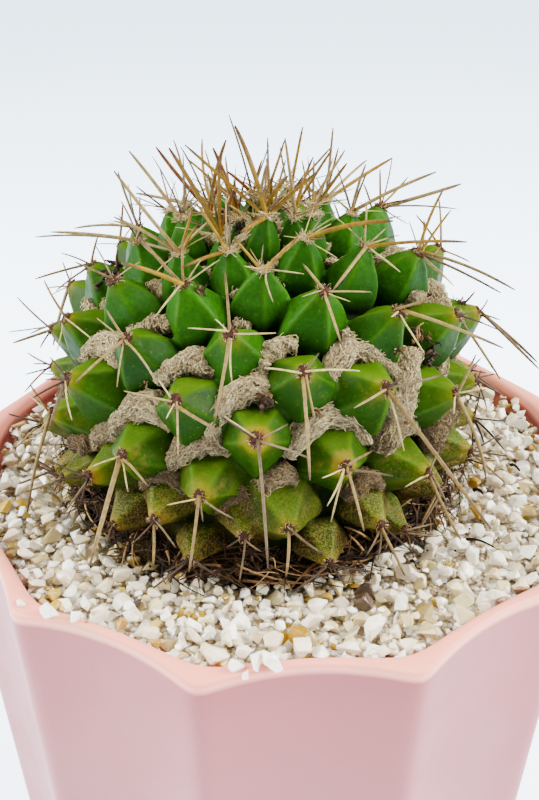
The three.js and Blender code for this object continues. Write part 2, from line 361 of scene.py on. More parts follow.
def tubercleFrame(place):
    rise = math.radians(along("rise", place))
    outward = azimuthPoint(1.0, spiral["startAzimuth"] + spiral["goldenAngle"] * place)
    areole = plantCentre + outward * along("radius", place)
    lifted = spiral["rightLift"] * max(0, areole[0] - plantCentre[0])
    areole[2] = rimHeight + along("height", place) + lifted
    if place in seenAreoles:
        areole = pixelPoint(*seenAreoles[place], areole)
    axis = outward * math.cos(rise) + skyward * math.sin(rise)
    sideways = np.cross(skyward, outward)
    return {"place": place, "areole": areole, "outward": outward, "axis": axis, "sideways": sideways,
            "upper": np.cross(axis, sideways), "length": along("length", place),
            "halfWidth": along("halfWidth", place)}


frames = {n: tubercleFrame(n) for n in range(spiral["first"], spiral["last"] + 1)}


# a direction across a tubercle
def aroundAxis(fr, turn):
    return fr["sideways"] * math.cos(turn) + fr["upper"] * math.sin(turn)


flesh = {"voxel": 0.31, "ringSteps": 18, "sectionSteps": 72, "stemSteps": 64, "stemSink": 0.8,
         "pointed": 0.15, "lean": 0.14, "wobble": 0.05, "lump": 0.17}
broadTubercles = {55: 1.35, 47: 1.08, 42: 1.06, 34: 1.06}  # those that the photo shows wider
# azimuth about the axis and reach of a section's corners: two on the flat roof, two side ridges, one keel
sectionCorners = [(50, 0.97), (130, 0.97), (196, 1.13), (270, 1.16), (344, 1.13)]
swellBack = [0, 0.03, 0.08, 0.17, 0.3, 0.45, 0.62, 0.8, 1.0]
swellWidth = [0.18, 0.24, 0.33, 0.48, 0.68, 0.86, 0.98, 1.0, 0.9]
# radius of the root and the neck, and height over the rim
stemRoot = [(3.0, -27.0), (8.6, -17.0), (8.6, -10.0), (29.0, -9.2), (35.5, -5.5), (35.5, 0.0)]
# the flesh's colour from the crown down to the oldest tubercles
fleshAges = [(0.0, (0.012, 0.07, 0.0005)), (0.24, (0.011, 0.078, 0.0003)), (0.32, (0.011, 0.072, 0.0003)),
             (0.42, (0.0048, 0.031, 0.0001)), (0.58, (0.01, 0.039, 0.0001)), (0.69, (0.015, 0.033, 0.0002)),
             (0.77, (0.021, 0.024, 0.0008)), (0.86, (0.03, 0.021, 0.004)), (1.0, (0.024, 0.013, 0.005))]
# how much of it the tubercles have, by their place on the spiral, and how much that varies
wearByPlace = {"worn": ([30, 48, 56, 63, 74], [0.0, 0.05, 0.35, 0.85, 1.0], (0.6, 1.3)),
               "scar": ([0, 18, 40, 54, 84], [0.0, 0.7, 1.5, 1.2, 0.7], (0.35, 1.3)),
               "cork": ([5, 30, 48, 62, 84], [0.0, 0.25, 0.8, 1.5, 1.6], (0.1, 1.2))}


def fleshMaterial():
    material, tree, shader = newMaterial("cactusFlesh", 0.45, specular=0.05)
    letLightIn(shader, 0.03, (0.3, 1.0, 0.1), 0.001)
    place = objectPlace(tree)
    mottle = noiseAt(tree, place, 1500.0, 3.0, 0.7)
    blotch = noiseAt(tree, place, 150.0, 4.0, 0.6)
    green = ramp(tree, attribute(tree, "age"), *fleshAges)
    green = varied(tree, green, mottle, (0.32, (0.7, 0.72, 0.7)), (0.68, (1.3, 1.26, 1.2)))
    green = varied(tree, green, blotch, (0.3, (0.6, 0.66, 0.6)), (0.7, (1.38, 1.24, 1.0)))
    green = varied(tree, green, attribute(tree, "tint"), (0.0, (0.78, 0.86, 0.8)), (1.0, (1.28, 1.12, 1.0)))
    # painted shade darkens the faces that turn down and painted light yellows the faces that turn up; the
    # last mix paints paler keel ridges
    for layer, share, color in (("paintedUnderShade", 0.5, (0.006, 0.028, 0.0001)),
                                ("paintedRoofLight", 0.45, (0.06, 0.13, 0.0003)),
                                ("ridge", 0.22, (0.075, 0.17, 0.003))):
        green = mixColor(tree, times(tree, attribute(tree, layer), share), green, color)
    # yellow and brown scars spread raggedly from the areole
    tipness = attribute(tree, "tipness")
    ragged = times(tree, mathNode(tree, "SUBTRACT", noiseAt(tree, place, 330.0, 4.0, 0.65), 0.5), 0.75)
    nearAreole = mathNode(tree, "ADD", tipness, times(tree, ragged, tipness), clamp=True)
    yellowZone = times(tree, mathNode(tree, "POWER", nearAreole, 2.6), attribute(tree, "scar"), clamp=True)
    yellowed = ramp(tree, yellowZone, (0.0, (0.06, 0.12, 0.0003)), (0.45, (0.21, 0.17, 0.001)),
                    (0.75, (0.2, 0.075, 0.002)), (1.0, (0.07, 0.016, 0.003)))
    green = mixColor(tree, yellowZone, green, yellowed)
    corkNoise = noiseAt(tree, place, 420.0, 5.0, 0.65)
    nearTip = mathNode(tree, "ADD", times(tree, tipness, 1.3), 0.35)
    cork = times(tree, excess(tree, corkNoise, 0.53, 8.0, clamp=True),
                 times(tree, attribute(tree, "cork"), nearTip), clamp=True)
    green = mixColor(tree, times(tree, cork, 0.75), green, (0.18, 0.105, 0.018))
    # old tubercles are stippled with pale fuzz and dark soil
    worn = attribute(tree, "worn")
    stipple = noiseAt(tree, place, 2900.0, 3.0, 0.8)
    fuzzy = times(tree, excess(tree, 0.5, stipple, 9.0), worn, clamp=True)
    green = mixColor(tree, times(tree, fuzzy, 0.8), green, (0.17, 0.115, 0.03))
    soiled = times(tree, excess(tree, stipple, 0.53, 10.0), worn, clamp=True)
    green = mixColor(tree, times(tree, soiled, 0.85), green, (0.01, 0.008, 0.001))
    dots = addNode(tree, "ShaderNodeTexVoronoi", place, Scale=900.0)
    speck = mathNode(tree, "LESS_THAN", dots["Distance"], 0.16)
    green = mixColor(tree, times(tree, speck, 0.3), green, (0.05, 0.15, 0.001))
    # painted shade: nearly black green in the grooves between tubercles and towards their bases, which are
    # also made rougher
    paintedGrooveShade = attribute(tree, "paintedGrooveShade")
    green = mixColor(tree, paintedGrooveShade, green, (0.004, 0.01, 0.001))
    rough = mixColor(tree, paintedGrooveShade, ramp(tree, blotch, (0.2, 0.4), (0.8, 0.58)), (0.95, 0.95, 0.95))
    fine = bumpFrom(tree, mottle, 0.22, 0.0002)
    broad = bumpFrom(tree, blotch, 0.3, 0.0006, fine)
    connect(tree, shader, green, bumpFrom(tree, corkNoise, 0.25, 0.0003, broad), rough)
    return material


# how far a tubercle's cornered section reaches at each angle
def sectionReach(theta):
    reach = np.zeros(len(theta))
    for (angleA, reachA), (angleB, reachB) in zip(sectionCorners, sectionCorners[1:] + sectionCorners[:1]):
        width = math.radians((angleB - angleA) % 360)
        t = (theta - math.radians(angleA)) % fullTurn
        edgeX, edgeY = reachB * math.cos(width) - reachA, reachB * math.sin(width)
        flat = reachA * edgeY / (np.cos(t) * edgeY - np.sin(t) * edgeX + 1e-9)
        reach = np.where(t < width, flat, reach)
    return softened(reach, 2)


def tubercleShell(fr, rng):
    theta = turnSteps(flesh["sectionSteps"])
    faceted = sectionReach(theta)
    lean = rng.uniform(-flesh["lean"], flesh["lean"])
    wobble = rng.uniform(-flesh["wobble"], flesh["wobble"], 3)
    plump = rng.uniform(0.97, 1.08) * np.interp(fr["place"], [-12, -4], [0.82, 1.0])
    plump *= broadTubercles.get(fr["place"], 1.0)
    pointed = np.interp(fr["place"], [25, 50], [0.0, flesh["pointed"]])
    rings = []
    for t in np.linspace(0, 1, flesh["ringSteps"]) ** 1.3:
        cornered = min(1.0, 0.35 + t / 0.2)
        reach = faceted * cornered + 0.97 * (1 - cornered)
        r = np.interp(t, swellBack, swellWidth) * fr["halfWidth"] * reach * plump
        r = r * (1 - pointed * math.sin(math.pi * min(1.0, t / 0.6)))
        r = r * (1 + wobble[0] * np.cos(theta) + wobble[1] * np.cos(2 * theta)
                 + wobble[2] * np.sin(3 * theta))
        middle = (fr["areole"] - fr["axis"] * (fr["length"] * t + 0.25)
                  + fr["sideways"] * lean * t * fr["length"])
        rings.append(middle + np.outer(r * np.cos(theta), fr["sideways"])
                     + np.outer(r * np.sin(theta), fr["upper"]))
    return closeRings(rings, inward=True)


def stemShell():
    outline = [(r, rimHeight + z) for r, z in stemRoot]
    for place in (84, 60, 40, 20, 5, -8, -20):
        rise = math.radians(along("rise", place))
        sink = along("length", place) * flesh["stemSink"]
        outline.append((along("radius", place) - sink * math.cos(rise),
                        rimHeight + along("height", place) - sink * math.sin(rise)))
    steps = flesh["stemSteps"]
    return closeRings([np.array([azimuthPoint(r, 360 * j / steps, z) + plantCentre for j in range(steps)])
                       for r, z in outline])


# what the colours need to know at every point of the flesh
def fleshLayers(co, normals, rng):
    order = list(frames.values())
    best, second = np.full((2, len(co)), 1e9)
    owner = np.zeros(len(co), int)
    for i, fr in enumerate(order):
        rel = co - fr["areole"]
        depth = np.clip(-rel @ fr["axis"], 0, fr["length"])
        d = np.linalg.norm(rel + np.outer(depth, fr["axis"]), axis=1) - 0.45 * depth
        closer = d < best
        second = np.where(closer, best, np.minimum(second, d))
        best[closer] = d[closer]
        owner[closer] = i
    own = {key: np.array([fr[key] for fr in order])[owner]
           for key in ("place", "areole", "sideways", "upper", "axis", "length")}
    rel = co - own["areole"]
    across, up, outside = [np.einsum("ij,ij->i", rel, own[key]) for key in ("sideways", "upper", "axis")]
    depth = -outside
    share = depth / own["length"]
    angle, spread = np.arctan2(up, across), np.hypot(across, up)
    turns = np.radians([corner for corner, _ in sectionCorners])
    corner = np.min([np.abs((angle - turn + math.pi) % fullTurn - math.pi) for turn in turns], axis=0)
    ridge = np.exp(-(corner * spread / 0.35) ** 2) * np.clip(spread / 2 - 0.5, 0, 1)
    # painted shade where two tubercles meet and deep towards a tubercle's base
    grooveShadeNear = np.exp(-((second - best) / 0.55) ** 2) * np.clip(share * 2.5 - 0.9, 0, 1)
    grooveShadeDeep = np.clip((share - 0.62) / 0.3, 0, 1)
    # painted light on the faces that turn up and painted shade on those that turn down, set by the normal;
    # the painted light is strongest on the middle rows
    facing = np.einsum("ij,ij->i", normals, own["upper"])
    sunShare = np.interp(own["place"], [-5, 12, 24, 60], [0.0, 0.35, 1.0, 0.7])
    layers = {"age": np.clip((own["place"] - spiral["first"]) / (spiral["last"] - spiral["first"]), 0, 1),
              "tipness": np.clip(1 - np.linalg.norm(rel, axis=1) / 6.0, 0, 1),
              "ridge": ridge * np.clip(1.2 - depth / 10, 0, 1),
              "paintedRoofLight": np.clip(facing * 1.6 - 0.35, 0, 1) * sunShare,
              "paintedUnderShade": np.clip(-facing * 1.3 - 0.05, 0, 1),
              "paintedGrooveShade": np.clip(np.maximum(grooveShadeNear * 0.85, grooveShadeDeep), 0, 1),
              "tint": rng.uniform(0, 1, len(order))[owner]}
    for key, (places, amounts, span) in wearByPlace.items():
        layers[key] = np.interp(own["place"], places, amounts) * rng.uniform(*span, len(order))[owner]
    return layers


def growFlesh():
    rng = np.random.default_rng(3)
    shapes = [stemShell()] + [tubercleShell(fr, rng) for fr in frames.values()]
    piece = makeShapes("cactusBody", shapes, fleshMaterial(), "cactus_skin", "cactus")
    remesh = piece.modifiers.new("remesh", "REMESH")
    remesh.mode = "VOXEL"
    remesh.voxel_size = flesh["voxel"] * mm
    remesh.use_smooth_shade = True
    soften = piece.modifiers.new("soften", "SMOOTH")
    soften.factor = 0.5
    soften.iterations = 1
    mesh = applyModifiers(piece)
    co, normals = np.zeros((2, len(mesh.vertices) * 3))
    mesh.vertices.foreach_get("co", co)
    mesh.vertices.foreach_get("normal", normals)
    co, normals = co.reshape(-1, 3) / mm, normals.reshape(-1, 3)
    for key, values in fleshLayers(co, normals, rng).items():
        addLayer(mesh, key, values)
    lumps = (field(co, 0.22) + 0.5 * field(co, 0.6)) * flesh["lump"]
    mesh.vertices.foreach_set("co", ((co + normals * lumps[:, None]) * mm).reshape(-1))
    print("flesh", len(co), "points")
    return piece


fleshTree = searchTree(growFlesh())


pot = {"cornerRadius": 65.0, "sides": 12, "firstCorner": -11.0, "taper": 0.03, "flute": 2.2, "arch": 1.4,
       "lip": 4.8, "floor": 3.0, "panelSteps": 24, "cornerSoftness": 2, "insideSoftness": 12,
       "drainCount": 5, "drainRadius": 4.0, "drainCircle": 30.0, "drainSides": 32}
footProfile = [(2.2, 0.0), (1.5, 0.0), (0.9, 0.18), (0.35, 0.65), (0.08, 1.2), (0.0, 1.8)]  # mm in, mm up
# the lip from outside to inside: mm in from the wall, mm over the rim
lipProfile = [(0.03, -0.4), (0.04, 0.7), (0.08, 1.1), (0.22, 1.42), (0.5, 1.62), (1.0, 1.72), (1.8, 1.78),
              (2.7, 1.74), (3.5, 1.56), (4.1, 1.22), (4.5, 0.7), (4.72, 0.0), (4.8, -1.0)]


def potMaterial():
    material, tree, shader = newMaterial("pinkPotPlastic", 0.4, specular=0.35)
    letLightIn(shader, 0.1, (1.0, 0.45, 0.4), 0.002)
    place = objectPlace(tree)
    lip = attribute(tree, "lip")
    pink = ramp(tree, noiseAt(tree, place, 22.0, 4.0, 0.55),
                (0.25, (0.28, 0.04, 0.038)), (0.75, (0.318, 0.051, 0.048)))
    # painted light: the lip's top and the upper inner wall get a much lighter salmon pink than the body; the
    # dust mixed in below is real
    pink = mixColor(tree, times(tree, lip, 0.85), pink, (1.0, 0.325, 0.225))
    dust = excess(tree, noiseAt(tree, place, 70.0, 5.0, 0.6), 0.46, 3.2, clamp=True)
    pink = mixColor(tree, times(tree, lip, dust, clamp=True), pink, (0.66, 0.31, 0.17))
    distance, pick = dotsAt(tree, place, 130.0)
    speck = times(tree, mathNode(tree, "LESS_THAN", distance, 0.05), mathNode(tree, "LESS_THAN", pick, 0.18))
    pink = mixColor(tree, times(tree, speck, 0.75), pink, (0.16, 0.06, 0.05))
    drawn = addNode(tree, "ShaderNodeMapping", place, Scale=(1.0, 1.0, 0.04))["Vector"]
    moulded = bumpFrom(tree, noiseAt(tree, drawn, 260.0, 2.0, 0.5), 0.05, 0.0004)
    grain = bumpFrom(tree, noiseAt(tree, place, 900.0, 2.0, 0.5), 0.04, 0.0002, moulded)
    rough = ramp(tree, noiseAt(tree, place, 90.0, 3.0, 0.5), (0.2, 0.36), (0.8, 0.48))
    connect(tree, shader, pink, grain, rough)
    return material


# once round the pot: each side bows inward in its middle and arches up
def potRing(cornerRadius, z, inward=0.0, arch=0.0, soften=pot["cornerSoftness"]):
    panel = 360 / pot["sides"]
    ring = []
    for side in range(pot["sides"]):
        azimuth = pot["firstCorner"] + side * panel
        start, end = azimuthPoint(cornerRadius, azimuth, z), azimuthPoint(cornerRadius, azimuth + panel, z)
        outward = azimuthPoint(1.0, azimuth + panel / 2)
        for u in np.arange(pot["panelSteps"]) / pot["panelSteps"]:
            bow = 4 * u * (1 - u)
            ring.append(start * (1 - u) + end * u - outward * inward * bow + skyward * (arch * bow))
    return softened(np.array(ring), soften)


def potOuter(z):
    return pot["cornerRadius"] - pot["taper"] * (rimHeight - z)


# once round the inside of the wall
def potInner(z, gap=0.0):
    return potRing(potOuter(z) - pot["lip"] - gap, z, soften=pot["insideSoftness"])


def makePot():
    rings = [potRing(potOuter(z) - inset, z, pot["flute"]) for inset, z in footProfile]
    for z in (20, 45, 70, 90, 103):
        rings.append(potRing(potOuter(z), z, pot["flute"], pot["arch"] * max(0, (z - 90) / 18)))
    rings.append(potRing(pot["cornerRadius"] - 0.02, rimHeight - 0.9, pot["flute"], pot["arch"]))
    # the lip layer marks the lip's top and the upper inner wall, where painted light makes the pink lighter
    lip = [0.0] * len(rings)
    for inset, rise in lipProfile:
        across = inset / pot["lip"]
        rings.append(potRing(pot["cornerRadius"] - inset, rimHeight + rise, pot["flute"] * (1 - across),
                             pot["arch"] * (1 - across * 0.25), pot["cornerSoftness"] + int(10 * across)))
        lip.append(min(1.0, max(0.0, rise + 0.3)))
    rings += [potInner(z) for z in (rimHeight - 5, rimHeight - 9, 60, 8)]
    rings.append(potRing(potOuter(3) - pot["lip"] - 1.5, pot["floor"], soften=pot["insideSoftness"]))
    # painted light on the two upper rings of the inner wall
    lip += [1.0, 1.0, 0.0, 0.0, 0.0]
    piece = makePiece("potShell", *closeRings(rings), potMaterial(), "pot_plastic", "pot",
                      lip=np.repeat(lip, len(rings[0])))
    drills = []
    for i in range(pot["drainCount"]):
        spot = azimuthPoint(pot["drainCircle"], 360 * i / pot["drainCount"]) * mm
        bpy.ops.mesh.primitive_cylinder_add(vertices=pot["drainSides"], radius=pot["drainRadius"] * mm,
                                            depth=4 * pot["floor"] * mm, location=spot)
        drills.append(bpy.context.object)
        cut = piece.modifiers.new("drain", "BOOLEAN")
        cut.object = drills[-1]
        cut.solver = "EXACT"
    mesh = applyModifiers(piece)
    for drill in drills:
        bpy.data.objects.remove(drill)
    print("pot", len(mesh.vertices), "points")
    return piece


potTree = searchTree(makePot())


def soilMaterial():
    material, tree, shader = newMaterial("darkPottingSoil", 0.95)
    crumbs = noiseAt(tree, objectPlace(tree), 500.0, 6.0, 0.7)
    brown = ramp(tree, crumbs, (0.3, (0.012, 0.008, 0.006)), (0.7, (0.075, 0.048, 0.03)))
    connect(tree, shader, brown, bumpFrom(tree, crumbs, 0.8, 0.002))
    return material


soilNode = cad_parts["soil"]
soilNode.data.materials.clear()
soilNode.data.materials.append(soilMaterial())
gravel = {"count": 15000, "sizeLow": 0.75, "sizeHigh": 2.9, "skew": 1.9, "level": 107.0, "dip": 1.6,
          "wallRise": 1.5, "clearRadius": 33.0, "innerRadius": 38.0, "outerRadius": 61.0, "tries": 20,
          "cell": 0.5, "gridHalf": 66.0, "shapes": 24, "bevel": 0.1, "bedDepth": 4.2, "heaps": 0.7}
quartzColors = {"whiteQuartz": ((0.66, 0.56, 0.38), (0.98, 0.95, 0.83)),
                "amberQuartz": ((0.27, 0.135, 0.001), (0.46, 0.31, 0.02)),
                "tanQuartz": ((0.3, 0.22, 0.07), (0.7, 0.6, 0.33)),
                "darkGrit": ((0.012, 0.01, 0.01), (0.1, 0.05, 0.02))}
quartzShares = {"darkGrit": 0.012, "amberQuartz": 0.04, "tanQuartz": 0.19}  # the rest is white


def quartzMaterial(name):
    material, tree, shader = newMaterial(name, 0.27, specular=0.6)
    letLightIn(shader, 0.45, (1.0, 0.85, 0.6), 0.0012)
    place = objectPlace(tree)
    low, high = quartzColors[name]
    body = varied(tree, ramp(tree, attribute(tree, "tint"), (0.0, low), (1.0, high)),
                  noiseAt(tree, place, 900.0, 3.0, 0.6), (0.3, (0.86, 0.83, 0.76)), (0.7, 1.1))
    connect(tree, shader, body, bumpFrom(tree, noiseAt(tree, place, 2600.0, 3.0, 0.6), 0.25, 0.0002))
    return material


quartz = {kind: quartzMaterial(kind) for kind in quartzColors}


# angular forms about 1 mm in radius: hulls of random points with their edges taken off
def chipShapes(rng):
    shapes = []
    for _ in range(gravel["shapes"]):
        bm = bmesh.new()
        points = rng.normal(size=(rng.integers(10, 15), 3))
        points = points / np.linalg.norm(points, axis=1, keepdims=True)
        points = points * rng.uniform(0.75, 1.0, (len(points), 1))
        points = points * np.array([1.0, rng.uniform(0.62, 0.95), rng.uniform(0.45, 0.75)])
        for point in points:
            bm.verts.new(point)
        hull = bmesh.ops.convex_hull(bm, input=bm.verts)
        loose = [v for v in hull["geom_interior"] if isinstance(v, bmesh.types.BMVert)]
        bmesh.ops.delete(bm, geom=loose, context="VERTS")
        bmesh.ops.bevel(bm, geom=list(bm.edges), offset=gravel["bevel"], segments=1, affect="EDGES",
                        clamp_overlap=True)
        bmesh.ops.recalc_face_normals(bm, faces=bm.faces)
        shapes.append(pointsAndFaces(bm))
    return shapes


def pointsAndFaces(bm):
    bm.verts.ensure_lookup_table()
    verts = np.array([v.co[:] for v in bm.verts])
    faces = [[v.index for v in f.verts] for f in bm.faces]
    bm.free()
    return verts, faces


# the bed dips round the plant and is heaped a little against the pot's wall
def gravelLevel(r):
    dip = np.clip((48.0 - r) / 10.0, 0, 1)
    rise = np.clip((r - 46.0) / 12.0, 0, 1)
    return gravel["level"] - gravel["dip"] * dip * dip * (3 - 2 * dip) + gravel["wallRise"] * rise


# turned any way round and tipped a little
def randomTurn(rng, flat=1.0):
    a, b, c = rng.uniform(0, fullTurn), rng.normal(0, 0.5 * flat), rng.normal(0, 0.5 * flat)
    ca, sa, cb, sb, cc, sc = math.cos(a), math.sin(a), math.cos(b), math.sin(b), math.cos(c), math.sin(c)
    turnZ = np.array([[ca, -sa, 0], [sa, ca, 0], [0, 0, 1]])
    turnX = np.array([[1, 0, 0], [0, cb, -sb], [0, sb, cb]])
    turnY = np.array([[cc, 0, sc], [0, 1, 0], [-sc, 0, cc]])
    return turnX @ turnY @ turnZ


def insidePot(x, y, r):
    azimuth = math.degrees(math.atan2(x, -y)) - pot["firstCorner"]
    panel = 360 / pot["sides"]
    local = math.radians(azimuth % panel - panel / 2)
    wall = (pot["cornerRadius"] - pot["lip"]) * math.cos(math.radians(panel / 2)) / math.cos(local)
    return math.hypot(x, y) + r * 0.72 < wall


# a spot between the plant and the wall, or None when all tries miss
def gravelSpot(chip, rng):
    for _ in range(gravel["tries"]):
        r = math.sqrt(rng.uniform(gravel["clearRadius"] ** 2, gravel["outerRadius"] ** 2))
        spot = azimuthPoint(r, rng.uniform(0, 360))
        fromPlant = math.hypot(*(spot - plantCentre)[:2])
        if insidePot(spot[0], spot[1], chip) and fromPlant > gravel["innerRadius"]:
            return spot


def chipKind(roll):
    limit = 0
    for kind, share in quartzShares.items():
        limit += share
        if roll < limit:
            return kind
    return "whiteQuartz"


# drops chips one by one on a height map of the bed, until they reach its level
def pourGravel():
    rng = np.random.default_rng(8)
    shapes = chipShapes(rng)
    half, cell, sizeSpan = gravel["gridHalf"], gravel["cell"], gravel["sizeHigh"] - gravel["sizeLow"]
    middles = (np.arange(int(2 * half / cell)) + 0.5) * cell - half
    gridX, gridY = np.meshgrid(middles, middles)
    ground = gravelLevel(np.hypot(gridX, gridY)) - gravel["bedDepth"]
    chips = {kind: ([], []) for kind in quartzColors}
    for _ in range(gravel["count"]):
        chip = rng.uniform(0, 1) ** gravel["skew"] * sizeSpan + gravel["sizeLow"]
        spot = gravelSpot(chip, rng)
        if spot is None:
            continue
        reach = int(chip / cell) + 1
        column, row = [int((spot[i] + half) / cell) for i in (0, 1)]
        near = tuple(slice(max(n - reach, 0), n + reach + 1) for n in (row, column))
        away = (gridX[near] - spot[0]) ** 2 + (gridY[near] - spot[1]) ** 2
        inside = away < chip ** 2
        rest = np.percentile(ground[near][inside], 55)
        heaped = noise.noise(Vector(spot * 0.13)) * gravel["heaps"]
        if rest > gravelLevel(math.hypot(spot[0], spot[1])) + heaped - 0.2:
            continue
        turn = randomTurn(rng)
        verts, faces = shapes[rng.integers(len(shapes))]
        shape = verts @ turn.T * np.array([chip, chip, chip * rng.uniform(0.75, 1.0)])
        low, high = shape[:, 2].min(), shape[:, 2].max()
        base = rest - low - 0.25 * (high - low)
        cap = base + high * np.sqrt(np.clip(1 - away / chip ** 2, 0, 1)) * 0.9
        ground[near] = np.where(inside, np.maximum(ground[near], cap), ground[near])
        forms, tints = chips[chipKind(rng.uniform())]
        forms.append((shape + np.array([spot[0], spot[1], base]), faces))
        tints.append(rng.uniform())
    for kind, (forms, tints) in chips.items():
        makeShapes(kind + "Chips", forms, quartz[kind], "crushed_quartz", "gravel", False, tint=tints)
    print("gravel", sum(len(forms) for forms, _ in chips.values()), "chips")
    return ground, shapes


gravelTop, chipForms = pourGravel()


def gravelBedMaterial():
    material, tree, shader = newMaterial("quartzSand", 0.8)
    distance, pick = dotsAt(tree, objectPlace(tree), 1050.0)
    sand = ramp(tree, pick, (0.0, (0.42, 0.28, 0.12)), (0.25, (0.66, 0.55, 0.34)), (1.0, (0.95, 0.91, 0.78)))
    # painted shade: darker brown in the gaps between the sand grains
    sand = varied(tree, sand, distance, (0.35, 1.0), (0.75, (0.3, 0.22, 0.13)))
    connect(tree, shader, sand, bumpFrom(tree, mathNode(tree, "SUBTRACT", 1.0, distance), 0.9, 0.0012))
    return material


def makeGravelBed():
    count = pot["sides"] * pot["panelSteps"]
    azimuths = [pot["firstCorner"] + 360 * j / count for j in range(count)]
    rings = []
    for r, z, middle in ((36.6, 98.3, plantCentre), (36.6, 102.6, plantCentre), (44.0, 103.4, plantCentre),
                         (50.0, 104.2, 0)):
        rings.append(np.array([azimuthPoint(r, azimuth, z) + middle for azimuth in azimuths]))
    rings += [potInner(z, gap=0.15) for z in (104.4, 98.3)]
    faces = []
    for i in range(len(rings)):
        n = (i + 1) % len(rings)
        for j in range(count):
            k = (j + 1) % count
            faces.append([i * count + j, n * count + j, n * count + k, i * count + k])
    makePiece("gravelBed", np.concatenate(rings), faces, gravelBedMaterial(), "crushed_quartz", "gravel")


makeGravelBed()


# chips that lie loose on the pot's front lip: pixel in the photo, size in mm
strayChips = [(236, 669, 1.6), (256, 665, 1.9), (269, 670, 2.5), (246, 677, 1.0), (50, 615, 2.0),
              (76, 620, 1.8), (21, 604, 1.1)]


def dropStrayChips():
    rng = np.random.default_rng(19)
    shapes, tints = [], []
    for x, y, size in strayChips:
        form, faces = chipForms[rng.integers(len(chipForms))]
        shape = form @ randomTurn(rng, 0.4).T * size * np.array([1.0, 1.0, 1.25])
        shape[:, 2] -= shape[:, 2].min() + 0.12 * size
        shapes.append((shape + seenPoint(potTree, x, y), faces))
        tints.append(rng.uniform(0.7, 1.0))
    makeShapes("strayLipChips", shapes, quartz["whiteQuartz"], "crushed_quartz", "gravel", False, tint=tints)


dropStrayChips()


wool = {"first": -24, "last": 70, "steps": 26, "sides": 18, "strandsPerPad": 620,
        "strandSides": 3, "strandRadius": 0.078, "strandTaper": [0.6, 1, 1, 1, 0.8, 0.4]}
# where a pad runs round its tubercle: azimuth about the axis, 90 towards the crown, 180 to the left
woolSpans = {21: (80, 172), 34: (50, 188), 42: (5, 172), 29: (-10, 150), 26: (60, 158), 39: (45, 180),
             47: (55, 172), 18: (78, 165), 13: (70, 100), 5: (100, 140), 8: (40, 70), 16: (150, 215),
             37: (80, 200), 3: (50, 90), 24: (45, 75), 11: (40, 75)}


def woolMaterial():
    material, tree, shader = newMaterial("creamWool", 0.95, specular=0.1)
    shader.inputs["Sheen Weight"].default_value = 0.15
    place = objectPlace(tree)
    strands = noiseAt(tree, place, 2400.0, 4.0, 0.75)
    cream = ramp(tree, strands, (0.35, (0.07, 0.04, 0.016)), (0.43, (0.44, 0.315, 0.135)),
                 (0.51, (0.82, 0.66, 0.34)), (0.66, (1.0, 0.89, 0.53)))
    cream = varied(tree, cream, noiseAt(tree, place, 180.0, 3.0, 0.5),
                   (0.3, (0.78, 0.72, 0.64)), (0.7, (1.12, 1.1, 1.04)))
    stained = ramp(tree, strands, (0.38, (0.02, 0.01, 0.002)), (0.62, (0.3, 0.17, 0.045)))
    cream = mixColor(tree, attribute(tree, "dirt"), cream, stained)
    connect(tree, shader, cream, bumpFrom(tree, strands, 1.0, 0.0008))
    return material


# a pad is a roll bent round one tubercle; this gives points on it, s along and phi round it
def padPoint(fr, span, thick, s, phi, lift=0.0):
    theta = np.radians(span[0] + (span[1] - span[0]) * s)
    diamond = (np.abs(np.cos(theta)) ** 1.5 + np.abs(np.sin(theta)) ** 1.5) ** (-1 / 1.5)
    ringR = fr["halfWidth"] * diamond * 0.98 + thick * 0.3
    back = fr["length"] * (0.62 + 0.08 * np.sin(math.pi * s))
    radial = np.outer(np.cos(theta), fr["sideways"]) + np.outer(np.sin(theta), fr["upper"])
    middle = fr["areole"] - fr["axis"] * back[:, None] + radial * ringR[:, None]
    fat = thick * np.clip(np.sin(math.pi * (0.06 + 0.88 * s)), 0, 1) ** 0.6
    out = radial * (np.cos(phi) * 0.85)[:, None] + fr["axis"] * (np.sin(phi) * 1.2)[:, None]
    points = middle + out * (fat + lift)[:, None]
    return points + out * (field(points, 0.5) * 0.7 + field(points, 1.5) * 0.3)[:, None]


# old wool lies combed along the roll, young wool is felted
def woolStrand(fr, span, thick, combed, rng):
    t = np.linspace(0, 1, len(wool["strandTaper"]))
    runS = rng.normal(0, 1) * 0.1 + rng.choice([-1, 1]) * 0.24 * combed
    runPhi = rng.normal(0, 1) * (1.5 - 0.9 * combed)
    s = np.clip(rng.uniform(0.02, 0.98) + runS * t, 0.0, 1.0)
    phi = rng.uniform(-0.5, 2.4) + runPhi * t + rng.normal(0, 0.35) * np.sin(math.pi * t)
    lift = rng.uniform(0.05, 0.4) + rng.uniform(0.0, 0.9) * np.sin(math.pi * t) * rng.uniform() ** 2
    return padPoint(fr, span, thick, s, phi, lift)


